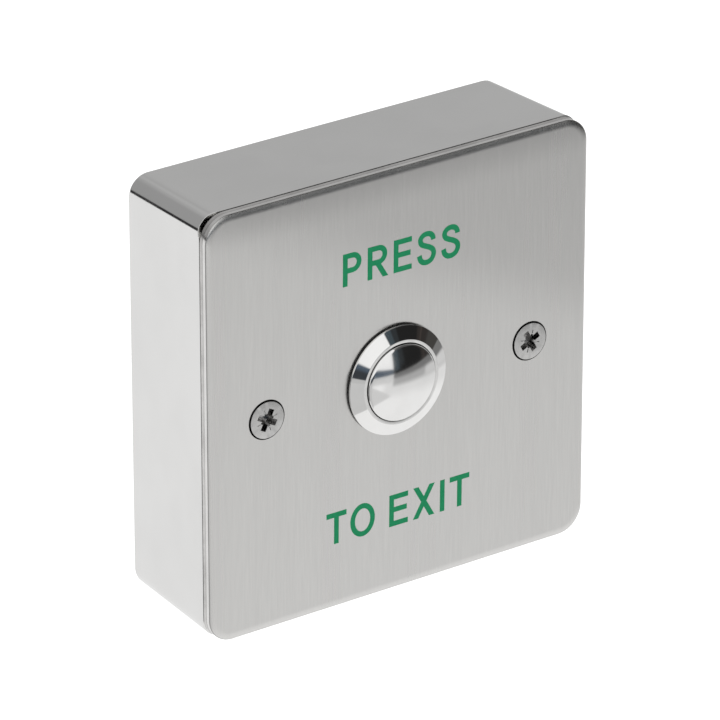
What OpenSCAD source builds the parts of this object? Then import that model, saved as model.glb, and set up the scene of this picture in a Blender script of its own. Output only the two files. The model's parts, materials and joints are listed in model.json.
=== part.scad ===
// Door exit button on a surface box. A square steel face plate carries a sprung
// push button, and two countersunk screws hold it to lugs in a polished box.
// The box's back lies on the wall and the button faces -Y, with +Z up.
// The origin is the middle of the box's back. Millimetres.

/* [Face plate] */
// Width and height of the square face plate
plate_w = 86.4; // [80:0.1:100]
// Thickness of the face plate
plate_t = 2; // [1.5:0.1:3]
// Radius of the plate's corners, seen from the front
plate_corner_r = 5.2; // [3:0.1:10]
// Width of the soft rolled edge that the punch leaves round the front
plate_roll_w = 1.5; // [0.5:0.1:2.5]
// Depth of that rolled edge
plate_roll_d = 0.3; // [0.2:0.05:1]
// How far the plate stands past the box on each side
plate_overhang = 0.1; // [0:0.05:2]

/* [Back box] */
// Depth of the box from the wall to its rim
box_d = 25.3; // [22:0.1:45]
// Thickness of the box's walls
box_wall = 1.2; // [0.8:0.1:2]
// Draft of each side, measured as how much it comes in at the wall
box_draft = 0.75; // [0:0.05:1.5]
// Outside radius of the box's four long corners
box_corner_r = 4.3; // [3:0.1:8]
// Outside radius of the edge round the box's back
box_edge_r = 0.9; // [0.4:0.1:1.5]
// Diameter of the cable hole in the box's back
cable_hole_d = 20; // [14:0.5:25]
// Distance between the two slots for the wall screws
wall_slot_spacing = 50.8; // [46:0.1:60]
// Width of each wall screw slot
wall_slot_w = 4.6; // [3.5:0.1:5.5]
// Length of each wall screw slot
wall_slot_l = 9; // [6:0.5:12]

/* [Fixing lugs] */
// Thickness of the lug's sheet
lug_t = 1.5; // [1:0.1:2]
// Width of each lug
lug_w = 12; // [9:0.5:20]
// How far the lug's front lies behind the box's rim
lug_setback = 1; // [0.3:0.1:3]
// Length of the leg that is welded to the box's side
lug_leg = 10; // [5:0.5:15]
// Outside radius of the lug's bend
lug_bend_r = 2.4; // [2.1:0.1:4]

/* [Plate screws] */
// Distance of each screw's middle from the plate's side
screw_edge = 13.05; // [10:0.05:16]
// Diameter of the screw's thread
screw_d = 3.5; // [3:0.1:4]
// Diameter of the screw's head
screw_head_d = 7.4; // [6:0.1:8]
// Length of the screw from its face to its tip
screw_l = 18; // [10:0.5:19]
// Gap that shows round the screw's head in the plate
screw_head_gap = 0.27; // [0.1:0.01:0.4]
// How far the screw's face stands out of the plate
screw_rise = 0.25; // [0:0.05:0.5]
// Width of each wing of the cross recess
recess_wing_w = 1.1; // [0.6:0.05:1.3]
// Length across the cross recess
recess_l = 4.6; // [3:0.1:5]
// Depth of the cross recess
recess_d = 1.7; // [1:0.1:2]
// Turn of the left screw's recess
left_recess_turn = 63; // [0:1:89]
// Turn of the right screw's recess
right_recess_turn = 28; // [0:1:89]

/* [Button housing] */
// Sideways place of the button on the plate
button_x = -0.95; // [-3:0.05:3]
// Upright place of the button on the plate
button_z = 0.5; // [-3:0.05:3]
// Width of the bezel's rim, outside the barrel
bezel_rim_w = 1.5; // [1.2:0.05:3]
// Height of the bezel's straight side above the plate
bezel_side = 0.8; // [0.6:0.05:1.4]
// Height of the bezel's flat lip above the plate
bezel_h = 1.9; // [1.6:0.05:3]
// Width of the flat lip round the cap
bezel_lip_w = 0.57; // [0.3:0.01:0.9]
// Width of the ledge behind the bezel's bore, which keeps the cap in
bezel_ledge_w = 0.68; // [0.5:0.01:0.9]
// Thickness of the threaded barrel's wall
barrel_wall = 0.9; // [0.7:0.05:1.2]
// Thickness of the barrel's end that is rolled over the switch base
crimp_t = 0.6; // [0.4:0.05:0.9]
// Gap round the barrel in the plate's hole
barrel_gap = 0.15; // [0.05:0.01:0.3]

/* [Button cap] */
// Diameter of the cap
cap_d = 15.4; // [14.4:0.1:15.8]
// Gap round the cap in the bezel
cap_gap = 0.22; // [0.15:0.01:0.4]
// Depth of the bezel's bore below the plate's front
bezel_bore_depth = 2.9; // [2.7:0.1:3.2]
// How far the cap's rim stands above the bezel's lip
cap_rise = 0.45; // [0:0.05:0.6]
// Height of the cap's dome above its rim
dome_h = 1.3; // [0.6:0.1:2]
// How far the button can be pressed
travel = 1.6; // [1:0.1:2]
// Thickness of the flange that keeps the cap in
cap_flange_t = 1; // [0.7:0.1:1.4]
// Thickness of the cap's side round the hollow in its back
cap_side_t = 1.5; // [1.2:0.1:2]
// Thickness of the cap's crown at its middle
cap_crown_t = 2.6; // [2:0.1:3.2]

/* [Switch] */
// Thickness of the plunger's head
plunger_head_t = 1.3; // [0.8:0.1:1.6]
// Width of the plunger's step that the moving contact lies on
plunger_step_w = 0.5; // [0.3:0.05:0.8]
// Length of the plunger's tip that the base guides at rest
tip_guided = 1.4; // [0.8:0.1:2]
// Depth of the moving contact below the plate's front
contact_depth = 6.4; // [6.2:0.1:7]
// Gap round the moving contact in the chamber
contact_gap = 2; // [1.6:0.1:2.4]
// Thickness of the moving contact
contact_t = 0.6; // [0.4:0.1:0.8]
// Distance of each fixed contact's middle from the moving contact's edge
terminal_inset = 1.2; // [1:0.1:1.4]
// Diameter of each fixed contact
stud_d = 3.2; // [2.8:0.1:3.4]
// How far each fixed contact stands above the base
stud_rise = 0.8; // [0.4:0.1:1]
// Length of the base's plug in the barrel, in front of its flange
base_plug_l = 3; // [2:0.1:4]
// Thickness of the base's flange, which the rolled end of the barrel holds
base_flange_t = 1.4; // [1:0.1:2]
// How far the base stands out behind the barrel
base_tail = 2.2; // [1.2:0.1:3]
// Distance of each fixed contact's side from the middle of the spring's wire
spring_inset = 0.8; // [0.6:0.05:1]
// Thickness of the return spring's wire
spring_wire = 0.45; // [0.3:0.05:0.5]
// Depth of the base's pocket that holds the return spring
spring_pocket = 1.7; // [1.2:0.1:2.4]
// Number of turns that the return spring has
spring_turns = 3; // [2:1:4]

/* [Terminals] */
// Diameter of the terminal screw's thread
terminal_d = 2.5; // [2:0.1:2.6]
// Diameter of the terminal screw's head
terminal_head_d = 4.6; // [4:0.1:5]
// Height of the terminal screw's head
terminal_head_h = 1.6; // [1.2:0.1:2]
// Side of the square clamp washer
clamp_w = 5; // [4.6:0.1:5.4]
// Thickness of the clamp washer
clamp_t = 0.6; // [0.4:0.1:1]

/* [Nut and seals] */
// Width of the lock nut's ring at its flats
nut_ring_w = 1.5; // [1.2:0.1:4]
// Thickness of the lock nut
nut_t = 2.5; // [2:0.1:4]
// Thickness of the lock washer
lock_washer_t = 0.5; // [0.4:0.1:1]
// Number of teeth round the lock washer
lock_washer_teeth = 16; // [8:1:20]
// How far the seal's edge lies inside the bezel's edge
panel_seal_inset = 0.1; // [0:0.05:0.5]
// Thickness of the seal under the bezel
panel_seal_t = 0.45; // [0.3:0.05:0.5]
// Thickness of the ring that seals the cap
cap_seal_t = 0.85; // [0.6:0.05:0.9]

/* [Grommet and earth] */
// Diameter of the cable's hole through the grommet
grommet_bore_d = 12; // [6:0.5:14]
// Width of the grommet's flange inside the box
grommet_flange_w = 2.2; // [1.5:0.1:3]
// Thickness of the grommet's flange
grommet_flange_t = 1.5; // [1:0.1:2.5]
// Width of the hexagonal earth pillar across its flats
earth_w = 7; // [6:0.5:9]
// Height of the earth pillar above the box's back
earth_h = 5; // [4:0.5:7]
// Diameter of the earth pillar's rivet in the box's back
earth_rivet_d = 4; // [3:0.5:5]
// Diameter of the earth screw's thread
earth_screw_d = 4; // [3:0.5:4]
// Distance of the earth pillar's middle from the box's two nearest sides
earth_inset = 9; // [8:0.5:14]

/* [Hidden] */

$fn = 96;
// Facets of the round corners inside a hull
hull_fn = 40;
// Thickness of the slices that a hull joins
slice = 0.01;
// How far a cut runs past the surface that it opens
past = 1;
// Small play between threads, and between pieces that are pushed together
thread_play = 0.05;
// Play between a countersunk head and its seat
seat_play = 0.01;
// Play of the plunger's tip in the base
guide_play = 0.08;
// Gap between the cap's flange and the bezel's lip, and between closed contacts
stop_gap = 0.05;

box_w = plate_w - 2 * plate_overhang;
face = box_d + plate_t;
screw_spacing = plate_w - 2 * screw_edge;
countersink_d = screw_head_d + 2 * screw_head_gap;
screw_hole_gap = 0.3;
screw_hole_d = screw_d + 2 * screw_hole_gap;
screw_land = screw_rise + screw_head_gap - seat_play;

bezel_bore_d = cap_d + 2 * cap_gap;
bezel_lip_d = bezel_bore_d + 2 * bezel_lip_w;
chamber_d = bezel_bore_d + 2 * bezel_ledge_w;
barrel_d = chamber_d + 2 * barrel_wall;
bezel_d = barrel_d + 2 * bezel_rim_w;
plate_hole_d = barrel_d + 2 * barrel_gap;
nut_w = barrel_d + 2 * nut_ring_w;
cap_hollow_d = cap_d - 2 * cap_side_t;
cap_flange_gap = 0.2;
cap_flange_d = chamber_d - 2 * cap_flange_gap;
cap_seat = bezel_bore_depth + stop_gap;
cap_rim_h = bezel_h + cap_rise;
cap_crown_h = cap_rim_h + dome_h;
cap_hollow_h = cap_crown_h - cap_crown_t;
cap_back = cap_seat + cap_flange_t;
cap_edge = 0.2;
groove_d = bezel_bore_d - 2 * cap_seal_t - 2 * stop_gap;
groove_play = 0.1;
groove_w = cap_seal_t + 2 * groove_play;
groove_h = 0.1;

contact_d = chamber_d - 2 * contact_gap;
terminal_x = contact_d / 2 - terminal_inset;
spring_d = 2 * terminal_x - stud_d - 2 * spring_inset;
plunger_tip_d = spring_d / 2;
plunger_stem_d = plunger_tip_d + 2 * plunger_step_w;
clip_t = 0.4;
clip_gap = 0.5;
plunger_groove = 0.35;
plunger_groove_d = plunger_tip_d - 2 * plunger_groove;
clip_d = spring_d - spring_wire - 2 * clip_gap;
contact_back = contact_depth + contact_t;
stud_depth = contact_back + travel + stop_gap;
base_depth = stud_depth + stud_rise;
base_step_w = 0.25;
base_flange_d = chamber_d + 2 * base_step_w;
base_seat_depth = base_depth + base_plug_l;
barrel_l = base_seat_depth + base_flange_t + crimp_t;
base_end = barrel_l + base_tail;
base_lip_w = 0.45;
base_tail_d = chamber_d - 2 * base_lip_w;
spring_seat = base_depth + spring_pocket;
spring_pocket_gap = 0.15;
spring_pocket_d = spring_d + spring_wire + 2 * spring_pocket_gap;
tip_end = spring_seat + tip_guided;
guide_end_gap = 0.8;
guide_end = tip_end + travel + guide_end_gap;
rib_end = base_end + clamp_t + terminal_head_h;
stud_tip = 2.5;
terminal_hole_l = base_end - stud_depth - stud_tip;
terminal_end_gap = 1;
terminal_screw_l = terminal_hole_l + clamp_t - terminal_end_gap;
terminal_slot_w = 0.7;

nut_front = plate_t + lock_washer_t;
earth_floor = 0.8;
earth_end_gap = 0.3;
earth_head_h = 2.4;
earth_slot_w = 1;
earth_at = box_w / 2 - box_draft - earth_inset;

// Turns a piece drawn with +Z out of the wall, and +Y up, into its place
module on_wall() { rotate([90, 0, 0]) children(); }

// The button's own axis, with zero height at the plate's front
module on_button() {
    on_wall() translate([button_x, button_z, face]) children();
}

function half_box(z) = box_w / 2 - box_draft * (1 - z / box_d);

// The four round corners of the box at a height, for a hull to join
module box_slice(half, r, z) {
    for (x = [-1, 1], y = [-1, 1]) translate([x * (half - r), y * (half - r), z]) {
        cylinder(r = r, h = slice, $fn = hull_fn);
    }
}

// A revolved ring between two radii and two heights
module ring(r_in, r_out, low, high) {
    rotate_extrude() translate([r_in, low]) square([r_out - r_in, high - low]);
}

module back_box() {
    color("gainsboro") on_wall() difference() {
        // outer form, with its rounded back edge
        hull() {
            box_slice(half_box(box_d), box_corner_r, box_d - slice);
            for (a = [0:30:90]) {
                z = box_edge_r * (1 - cos(90 - a));
                inset = box_edge_r * (1 - cos(a));
                box_slice(half_box(z) - inset, box_corner_r - inset, z);
            }
        }
        // hollow, open at the rim
        hull() for (z = [box_wall, box_d + past]) {
            box_slice(half_box(z) - box_wall, box_corner_r - box_wall, z);
        }
        translate([0, 0, -past]) {
            cylinder(d = cable_hole_d, h = box_wall + 2 * past);
            for (side = [-1, 1]) translate([side * wall_slot_spacing / 2, 0]) wall_slot();
            translate([earth_at, -earth_at]) cylinder(d = earth_rivet_d, h = box_wall + 2 * past);
        }
    }
}

module wall_slot() {
    linear_extrude(box_wall + 2 * past) {
        for (end = [-1, 1]) {
            translate([end * (wall_slot_l - wall_slot_w) / 2, 0]) circle(d = wall_slot_w);
        }
        square([wall_slot_l - wall_slot_w, wall_slot_w], center = true);
    }
}

// Folded lug on the right side: its leg lies on the box's wall
module lug_profile() {
    top = box_d - lug_setback;
    low = top - lug_leg;
    bend_z = top - lug_bend_r;
    wall_low = half_box(low) - box_wall;
    wall_bend = half_box(bend_z) - box_wall;
    bend_x = wall_bend - lug_bend_r;
    polygon([[wall_low - lug_t, low], [wall_low, low], [wall_bend, bend_z], [wall_bend - lug_t, bend_z]]);
    translate([bend_x, bend_z]) intersection() {
        difference() {
            circle(lug_bend_r);
            circle(lug_bend_r - lug_t);
        }
        square(lug_bend_r);
    }
    translate([screw_spacing / 2, top - lug_t]) square([bend_x - screw_spacing / 2, lug_t]);
}

module fixing_lug() {
    color("silver") on_wall() difference() {
        union() {
            rotate([90, 0, 0]) translate([0, 0, -lug_w / 2]) linear_extrude(lug_w) lug_profile();
            translate([screw_spacing / 2, 0, box_d - lug_setback - lug_t]) cylinder(d = lug_w, h = lug_t);
        }
        translate([screw_spacing / 2, 0, box_d - lug_setback - lug_t - past]) {
            cylinder(d = screw_d + 2 * thread_play, h = lug_t + 2 * past);
        }
    }
}

module fixing_lug_left() { mirror([1, 0, 0]) fixing_lug(); }
module fixing_lug_right() { fixing_lug(); }

module cable_grommet() {
    color("dimgray") on_wall() difference() {
        union() {
            cylinder(d = cable_hole_d - 2 * thread_play, h = box_wall);
            translate([0, 0, box_wall]) {
                cylinder(d = cable_hole_d + 2 * grommet_flange_w, h = grommet_flange_t);
            }
        }
        translate([0, 0, -past]) {
            cylinder(d = grommet_bore_d, h = box_wall + grommet_flange_t + 2 * past);
        }
    }
}

module earth_pillar() {
    color("goldenrod") on_wall() translate([earth_at, -earth_at]) difference() {
        union() {
            cylinder(d = earth_rivet_d - 2 * thread_play, h = box_wall);
            translate([0, 0, box_wall]) cylinder(d = earth_w / cos(30), h = earth_h, $fn = 6);
        }
        translate([0, 0, box_wall + earth_floor]) {
            cylinder(d = earth_screw_d + 2 * thread_play, h = earth_h + past);
        }
    }
}

module earth_screw() {
    shank = earth_h - earth_floor - earth_end_gap;
    color("goldenrod") on_wall() translate([earth_at, -earth_at, box_wall + earth_h]) {
        slotted_screw(earth_screw_d, shank, earth_w, earth_head_h, earth_slot_w);
    }
}

// Cheese-head screw: head above zero, thread below it
module slotted_screw(thread_d, thread_l, head_d, head_h, slot_w) {
    chamfer = 0.3;
    difference() {
        rotate_extrude() polygon([
            [0, -thread_l], [thread_d / 2 - chamfer, -thread_l], [thread_d / 2, chamfer - thread_l],
            [thread_d / 2, 0], [head_d / 2, 0], [head_d / 2, head_h - chamfer],
            [head_d / 2 - chamfer, head_h], [0, head_h]
        ]);
        translate([-head_d / 2 - past, -slot_w / 2, head_h / 2]) cube([head_d + 2 * past, slot_w, head_h]);
    }
}

// Section across the plate's edge, with its rolled front corner as a quarter of an ellipse
module plate_edge_section() {
    inner = plate_corner_r - plate_roll_w;
    low = plate_t - plate_roll_d;
    roll = [for (a = [90:-10:0]) [inner + plate_roll_w * sin(a), low + plate_roll_d * cos(a)]];
    polygon(concat([[0, 0], [plate_corner_r, 0]], roll, [[0, plate_t]]));
}

module plate_blank() {
    flat = plate_w / 2 - plate_corner_r;
    translate([-flat, -flat]) cube([2 * flat, 2 * flat, plate_t]);
    for (turn = [0:90:270]) rotate([0, 0, turn]) {
        translate([flat, flat]) rotate_extrude() plate_edge_section();
        translate([flat, flat]) rotate([90, 0, 0]) linear_extrude(2 * flat) plate_edge_section();
    }
}

module face_plate() {
    csk_r = countersink_d / 2;
    color("lightgray") on_wall() translate([0, 0, box_d]) difference() {
        plate_blank();
        translate([button_x, button_z, -past]) cylinder(d = plate_hole_d, h = plate_t + 2 * past);
        for (side = [-1, 1]) translate([side * screw_spacing / 2, 0]) {
            translate([0, 0, -past]) cylinder(d = screw_hole_d, h = plate_t + 2 * past);
            translate([0, 0, plate_t - csk_r]) cylinder(r1 = 0, r2 = csk_r + past, h = csk_r + past);
        }
    }
}

// Countersunk screw with a cross recess: its face is at zero height
module plate_screw(side, turn) {
    head_r = screw_head_d / 2;
    neck = screw_land + head_r - screw_d / 2;
    tip = 0.5;
    color("silver") on_wall() translate([side * screw_spacing / 2, 0, face + screw_rise]) difference() {
        rotate_extrude() polygon([
            [0, 0], [head_r, 0], [head_r, -screw_land], [screw_d / 2, -neck],
            [screw_d / 2, tip - screw_l], [screw_d / 2 - tip, -screw_l], [0, -screw_l]
        ]);
        rotate([0, 0, turn]) cross_recess();
    }
}

module cross_recess() {
    intersection() {
        for (turn = [0, 90]) rotate([0, 0, turn]) {
            translate([-recess_l / 2, -recess_wing_w / 2, -recess_d]) {
                cube([recess_l, recess_wing_w, recess_d + past]);
            }
        }
        translate([0, 0, -recess_d]) {
            cylinder(d1 = recess_wing_w, d2 = recess_l + recess_wing_w, h = recess_d + past);
        }
    }
}

module plate_screw_left() { plate_screw(-1, left_recess_turn); }
module plate_screw_right() { plate_screw(1, right_recess_turn); }

module button_housing() {
    bezel_r = bezel_d / 2;
    barrel_r = barrel_d / 2;
    crimp_r = base_tail_d / 2 + thread_play;
    seat_r = base_flange_d / 2 + thread_play;
    bezel_bore_r = bezel_bore_d / 2;
    color("silver") on_button() rotate_extrude() polygon([
        [bezel_bore_r, bezel_h], [bezel_lip_d / 2, bezel_h], [bezel_r, bezel_side],
        [bezel_r, panel_seal_t], [barrel_r, panel_seal_t],
        [barrel_r, -barrel_l], [crimp_r, -barrel_l], [crimp_r, crimp_t - barrel_l],
        [seat_r, crimp_t - barrel_l], [seat_r, -base_seat_depth],
        [chamber_d / 2, -base_seat_depth], [chamber_d / 2, -bezel_bore_depth],
        [bezel_bore_r, -bezel_bore_depth]
    ]);
}

module panel_seal() {
    outer = bezel_d / 2 - panel_seal_inset;
    color("black") on_button() ring(barrel_d / 2 + thread_play, outer, 0, panel_seal_t);
}

module lock_washer() {
    tooth_l = 1;
    notch_w = 1.2;
    root_r = nut_w / 2;
    color("silver") on_button() difference() {
        ring(barrel_d / 2 + barrel_gap, root_r + tooth_l, -nut_front, -plate_t);
        for (tooth = [1:lock_washer_teeth]) rotate([0, 0, tooth * 360 / lock_washer_teeth]) {
            translate([root_r, -notch_w / 2, -nut_front - past]) {
                cube([tooth_l + past, notch_w, lock_washer_t + 2 * past]);
            }
        }
    }
}

module lock_nut() {
    corner_r = nut_w / 2 / cos(30);
    chamfer = corner_r - nut_w / 2;
    slope = 0.5;
    color("silver") on_button() translate([0, 0, -nut_front - nut_t]) difference() {
        intersection() {
            cylinder(r = corner_r, h = nut_t, $fn = 6);
            rotate_extrude() polygon([
                [0, 0], [corner_r - chamfer, 0], [corner_r, chamfer * slope],
                [corner_r, nut_t], [0, nut_t]
            ]);
        }
        translate([0, 0, -past]) cylinder(d = barrel_d + 2 * thread_play, h = nut_t + 2 * past);
    }
}

module button_cap() {
    cap_r = cap_d / 2;
    dome_base = cap_r - cap_edge;
    dome_r = (pow(dome_base, 2) + pow(dome_h, 2)) / (2 * dome_h);
    color("whitesmoke") on_button() difference() {
        union() {
            // dome
            rotate_extrude() intersection() {
                translate([0, cap_crown_h - dome_r]) circle(dome_r);
                translate([0, cap_rim_h]) square([dome_base, dome_h + past]);
            }
            // rim, body and flange
            rotate_extrude() polygon([
                [0, cap_rim_h], [dome_base, cap_rim_h], [cap_r, cap_rim_h - cap_edge], [cap_r, -cap_seat],
                [cap_flange_d / 2, -cap_seat], [cap_flange_d / 2, -cap_back], [0, -cap_back]
            ]);
        }
        ring(groove_d / 2, cap_r + past, groove_h - groove_w / 2, groove_h + groove_w / 2);
        translate([0, 0, -cap_back - past]) cylinder(d = cap_hollow_d, h = cap_back + past + cap_hollow_h);
    }
}

module cap_seal() {
    color("black") on_button() rotate_extrude() {
        translate([(groove_d + cap_seal_t) / 2, groove_h]) circle(d = cap_seal_t, $fn = hull_fn);
    }
}

module plunger() {
    head_r = cap_hollow_d / 2 - thread_play;
    stem_r = plunger_stem_d / 2;
    tip_r = plunger_tip_d / 2;
    groove_r = plunger_groove_d / 2;
    chamfer = 0.4;
    head_low = cap_hollow_h - plunger_head_t;
    color("ivory") on_button() rotate_extrude() polygon([
        [0, cap_hollow_h], [head_r, cap_hollow_h], [head_r, head_low],
        [stem_r, head_low], [stem_r, -contact_depth], [tip_r, -contact_depth],
        [tip_r, -contact_back], [groove_r, -contact_back], [groove_r, -contact_back - clip_t],
        [tip_r, -contact_back - clip_t], [tip_r, chamfer - tip_end], [tip_r - chamfer, -tip_end], [0, -tip_end]
    ]);
}

module moving_contact() {
    inner = plunger_tip_d / 2 + thread_play;
    color("goldenrod") on_button() ring(inner, contact_d / 2, -contact_back, -contact_depth);
}

// Spring clip in the plunger's groove, open on one side
module retaining_clip() {
    mouth = plunger_groove_d;
    color("dimgray") on_button() difference() {
        ring(plunger_groove_d / 2 + thread_play, clip_d / 2, -contact_back - clip_t, -contact_back);
        translate([0, -mouth / 2, -contact_back - clip_t - past]) {
            cube([clip_d / 2 + past, mouth, clip_t + 2 * past]);
        }
    }
}

// Coil spring as stacked rings joined by the pitch of its turns
module return_spring() {
    wire_r = spring_wire / 2;
    low = -spring_seat + wire_r;
    high = -contact_back - wire_r;
    steps = spring_turns * 20;
    color("silver") on_button() for (i = [0:steps - 1]) hull() for (k = [i, i + 1]) {
        rotate([0, 0, k * 18]) translate([spring_d / 2, 0, low + (high - low) * k / steps]) {
            sphere(wire_r, $fn = 8);
        }
    }
}

module switch_base() {
    seat_r = base_flange_d / 2;
    plug_r = chamber_d / 2 - thread_play;
    rib_w = 1.4;
    rib_l = base_tail_d - 2;
    color("dimgray") on_button() difference() {
        union() {
            rotate_extrude() polygon([
                [0, -base_depth], [plug_r, -base_depth], [plug_r, -base_seat_depth],
                [seat_r, -base_seat_depth], [seat_r, crimp_t - barrel_l],
                [base_tail_d / 2, crimp_t - barrel_l], [base_tail_d / 2, -base_end], [0, -base_end]
            ]);
            translate([-rib_w / 2, -rib_l / 2, -rib_end]) cube([rib_w, rib_l, rib_end - base_end]);
        }
        translate([0, 0, -spring_seat]) cylinder(d = spring_pocket_d, h = spring_seat);
        translate([0, 0, -guide_end]) cylinder(d = plunger_tip_d + 2 * guide_play, h = guide_end);
        for (side = [-1, 1]) translate([side * terminal_x, 0, -base_end - past]) {
            cylinder(d = stud_d + 2 * thread_play, h = base_end + past);
        }
    }
}

// Brass insert: its front end is the fixed contact and its back takes the terminal screw
module fixed_contact(side) {
    color("goldenrod") on_button() translate([side * terminal_x, 0]) difference() {
        translate([0, 0, -base_end]) cylinder(d = stud_d, h = base_end - stud_depth);
        translate([0, 0, -base_end - past]) {
            cylinder(d = terminal_d + 2 * thread_play, h = terminal_hole_l + past);
        }
    }
}

module fixed_contact_left() { fixed_contact(-1); }
module fixed_contact_right() { fixed_contact(1); }

module clamp_washer(side) {
    color("silver") on_button() translate([side * terminal_x, 0, -base_end - clamp_t]) difference() {
        translate([-clamp_w / 2, -clamp_w / 2]) cube([clamp_w, clamp_w, clamp_t]);
        translate([0, 0, -past]) cylinder(d = terminal_d + 2 * thread_play, h = clamp_t + 2 * past);
    }
}

module clamp_washer_left() { clamp_washer(-1); }
module clamp_washer_right() { clamp_washer(1); }

module terminal_screw(side) {
    color("silver") on_button() translate([side * terminal_x, 0, -base_end - clamp_t]) rotate([180, 0, 0]) {
        slotted_screw(terminal_d, terminal_screw_l, terminal_head_d, terminal_head_h, terminal_slot_w);
    }
}

module terminal_screw_left() { terminal_screw(-1); }
module terminal_screw_right() { terminal_screw(1); }

back_box();
fixing_lug_left();
fixing_lug_right();
cable_grommet();
earth_pillar();
earth_screw();
face_plate();
plate_screw_left();
plate_screw_right();
button_housing();
panel_seal();
lock_washer();
lock_nut();
button_cap();
cap_seal();
plunger();
moving_contact();
retaining_clip();
return_spring();
switch_base();
fixed_contact_left();
fixed_contact_right();
clamp_washer_left();
clamp_washer_right();
terminal_screw_left();
terminal_screw_right();
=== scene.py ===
"""A door exit button on a surface box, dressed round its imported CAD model.

A satin steel plate carries a polished push button between two countersunk screws, and closes
a polished box. The frame is the CAD's: metres, the wall at y = 0, and the button facing -Y.
"""

import json
import logging
import math
from collections.abc import Callable, Iterator, Sequence
from contextlib import contextmanager
from dataclasses import dataclass
from enum import Enum

import bmesh
import bpy
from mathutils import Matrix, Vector

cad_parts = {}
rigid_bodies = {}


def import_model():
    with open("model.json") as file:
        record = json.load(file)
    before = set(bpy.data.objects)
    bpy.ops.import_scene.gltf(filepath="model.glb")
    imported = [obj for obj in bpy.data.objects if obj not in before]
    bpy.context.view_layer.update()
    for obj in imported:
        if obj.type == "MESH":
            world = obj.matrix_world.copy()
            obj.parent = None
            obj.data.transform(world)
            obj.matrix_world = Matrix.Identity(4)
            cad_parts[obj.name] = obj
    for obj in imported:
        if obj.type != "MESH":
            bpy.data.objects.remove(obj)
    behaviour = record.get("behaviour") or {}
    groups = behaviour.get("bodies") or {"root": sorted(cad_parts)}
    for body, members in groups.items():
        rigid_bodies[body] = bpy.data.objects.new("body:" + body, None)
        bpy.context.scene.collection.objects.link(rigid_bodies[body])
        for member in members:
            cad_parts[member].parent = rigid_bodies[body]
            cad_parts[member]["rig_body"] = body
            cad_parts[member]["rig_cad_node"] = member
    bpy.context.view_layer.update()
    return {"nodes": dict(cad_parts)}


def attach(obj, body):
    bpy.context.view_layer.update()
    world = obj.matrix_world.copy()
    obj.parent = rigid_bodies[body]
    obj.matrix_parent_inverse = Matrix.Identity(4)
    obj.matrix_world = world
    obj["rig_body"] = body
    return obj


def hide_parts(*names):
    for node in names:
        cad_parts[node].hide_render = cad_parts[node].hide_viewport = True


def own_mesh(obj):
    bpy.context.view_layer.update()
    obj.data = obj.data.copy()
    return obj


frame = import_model()

log = logging.getLogger("door_exit_button")

MM = 0.001
FULL_TURN = 2 * math.pi
# Distance of the face plate's front from the wall
FACE = 27.3
# Place of the button on the plate
BUTTON_X = -0.95
BUTTON_Z = 0.5

Colour = tuple[float, float, float]
Corner = tuple[float, float, float]
Flat = tuple[float, float]
Stroke = list[Flat]
Socket = bpy.types.NodeSocket
Inputs = dict[str | int, object]


class Part(Enum):
    """The kinds of element that are selected in edit mode."""

    VERTEX = "VERT"
    EDGE = "EDGE"
    FACE = "FACE"

    @property
    def listed(self) -> str:
        """The name of the mesh's list of such elements."""
        return {"VERT": "verts", "EDGE": "edges", "FACE": "faces"}[self.value]


class Slot(Enum):
    """The material slots of the record."""

    PLATE = "brushed_plate"
    BOX = "polished_box"
    BUTTON = "polished_button"
    SCREW = "screw_steel"
    PLATED = "plated_steel"
    SPRING = "spring_steel"
    BRASS = "brass"
    RUBBER = "black_rubber"
    BLACK = "black_plastic"
    IVORY = "ivory_plastic"
    LEGEND = "legend_enamel"


# Bench: the tools that shape a piece


def mm(x: float, y: float, z: float) -> Vector:
    """A point in metres from its millimetres."""
    return Vector((x, y, z)) * MM


def take(piece: bpy.types.Object) -> None:
    """Selects one piece alone, in object mode.

    Args:
        piece: the piece to select.
    """
    if bpy.context.object and bpy.context.object.mode != "OBJECT":
        bpy.ops.object.mode_set(mode="OBJECT")
    bpy.ops.object.select_all(action="DESELECT")
    piece.select_set(True)
    bpy.context.view_layer.objects.active = piece


def settle(piece: bpy.types.Object) -> bpy.types.Object:
    """Puts a piece's place into its mesh, so that its object is at the origin.

    Args:
        piece: the piece, wherever it stands.

    Returns:
        The same piece.
    """
    take(piece)
    bpy.ops.object.transform_apply(location=True, rotation=True, scale=True)
    return piece


def added(name: str) -> bpy.types.Object:
    """Names the primitive that was just added, and puts its place into its mesh.

    Args:
        name: the piece's name.

    Returns:
        The piece, at the origin.
    """
    piece = bpy.context.object
    piece.name = name
    return settle(piece)


def block(name: str, low: Sequence[float], high: Sequence[float]) -> bpy.types.Object:
    """Adds a cube between two corners.

    Args:
        name: the piece's name.
        low: the lowest corner in millimetres.
        high: the highest corner in millimetres.

    Returns:
        The new piece, at the origin.
    """
    middle = [(a + b) / 2 * MM for a, b in zip(low, high)]
    size = [(b - a) * MM for a, b in zip(low, high)]
    bpy.ops.object.select_all(action="DESELECT")
    bpy.ops.mesh.primitive_cube_add(size=1, location=middle, scale=size)
    return added(name)


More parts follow.
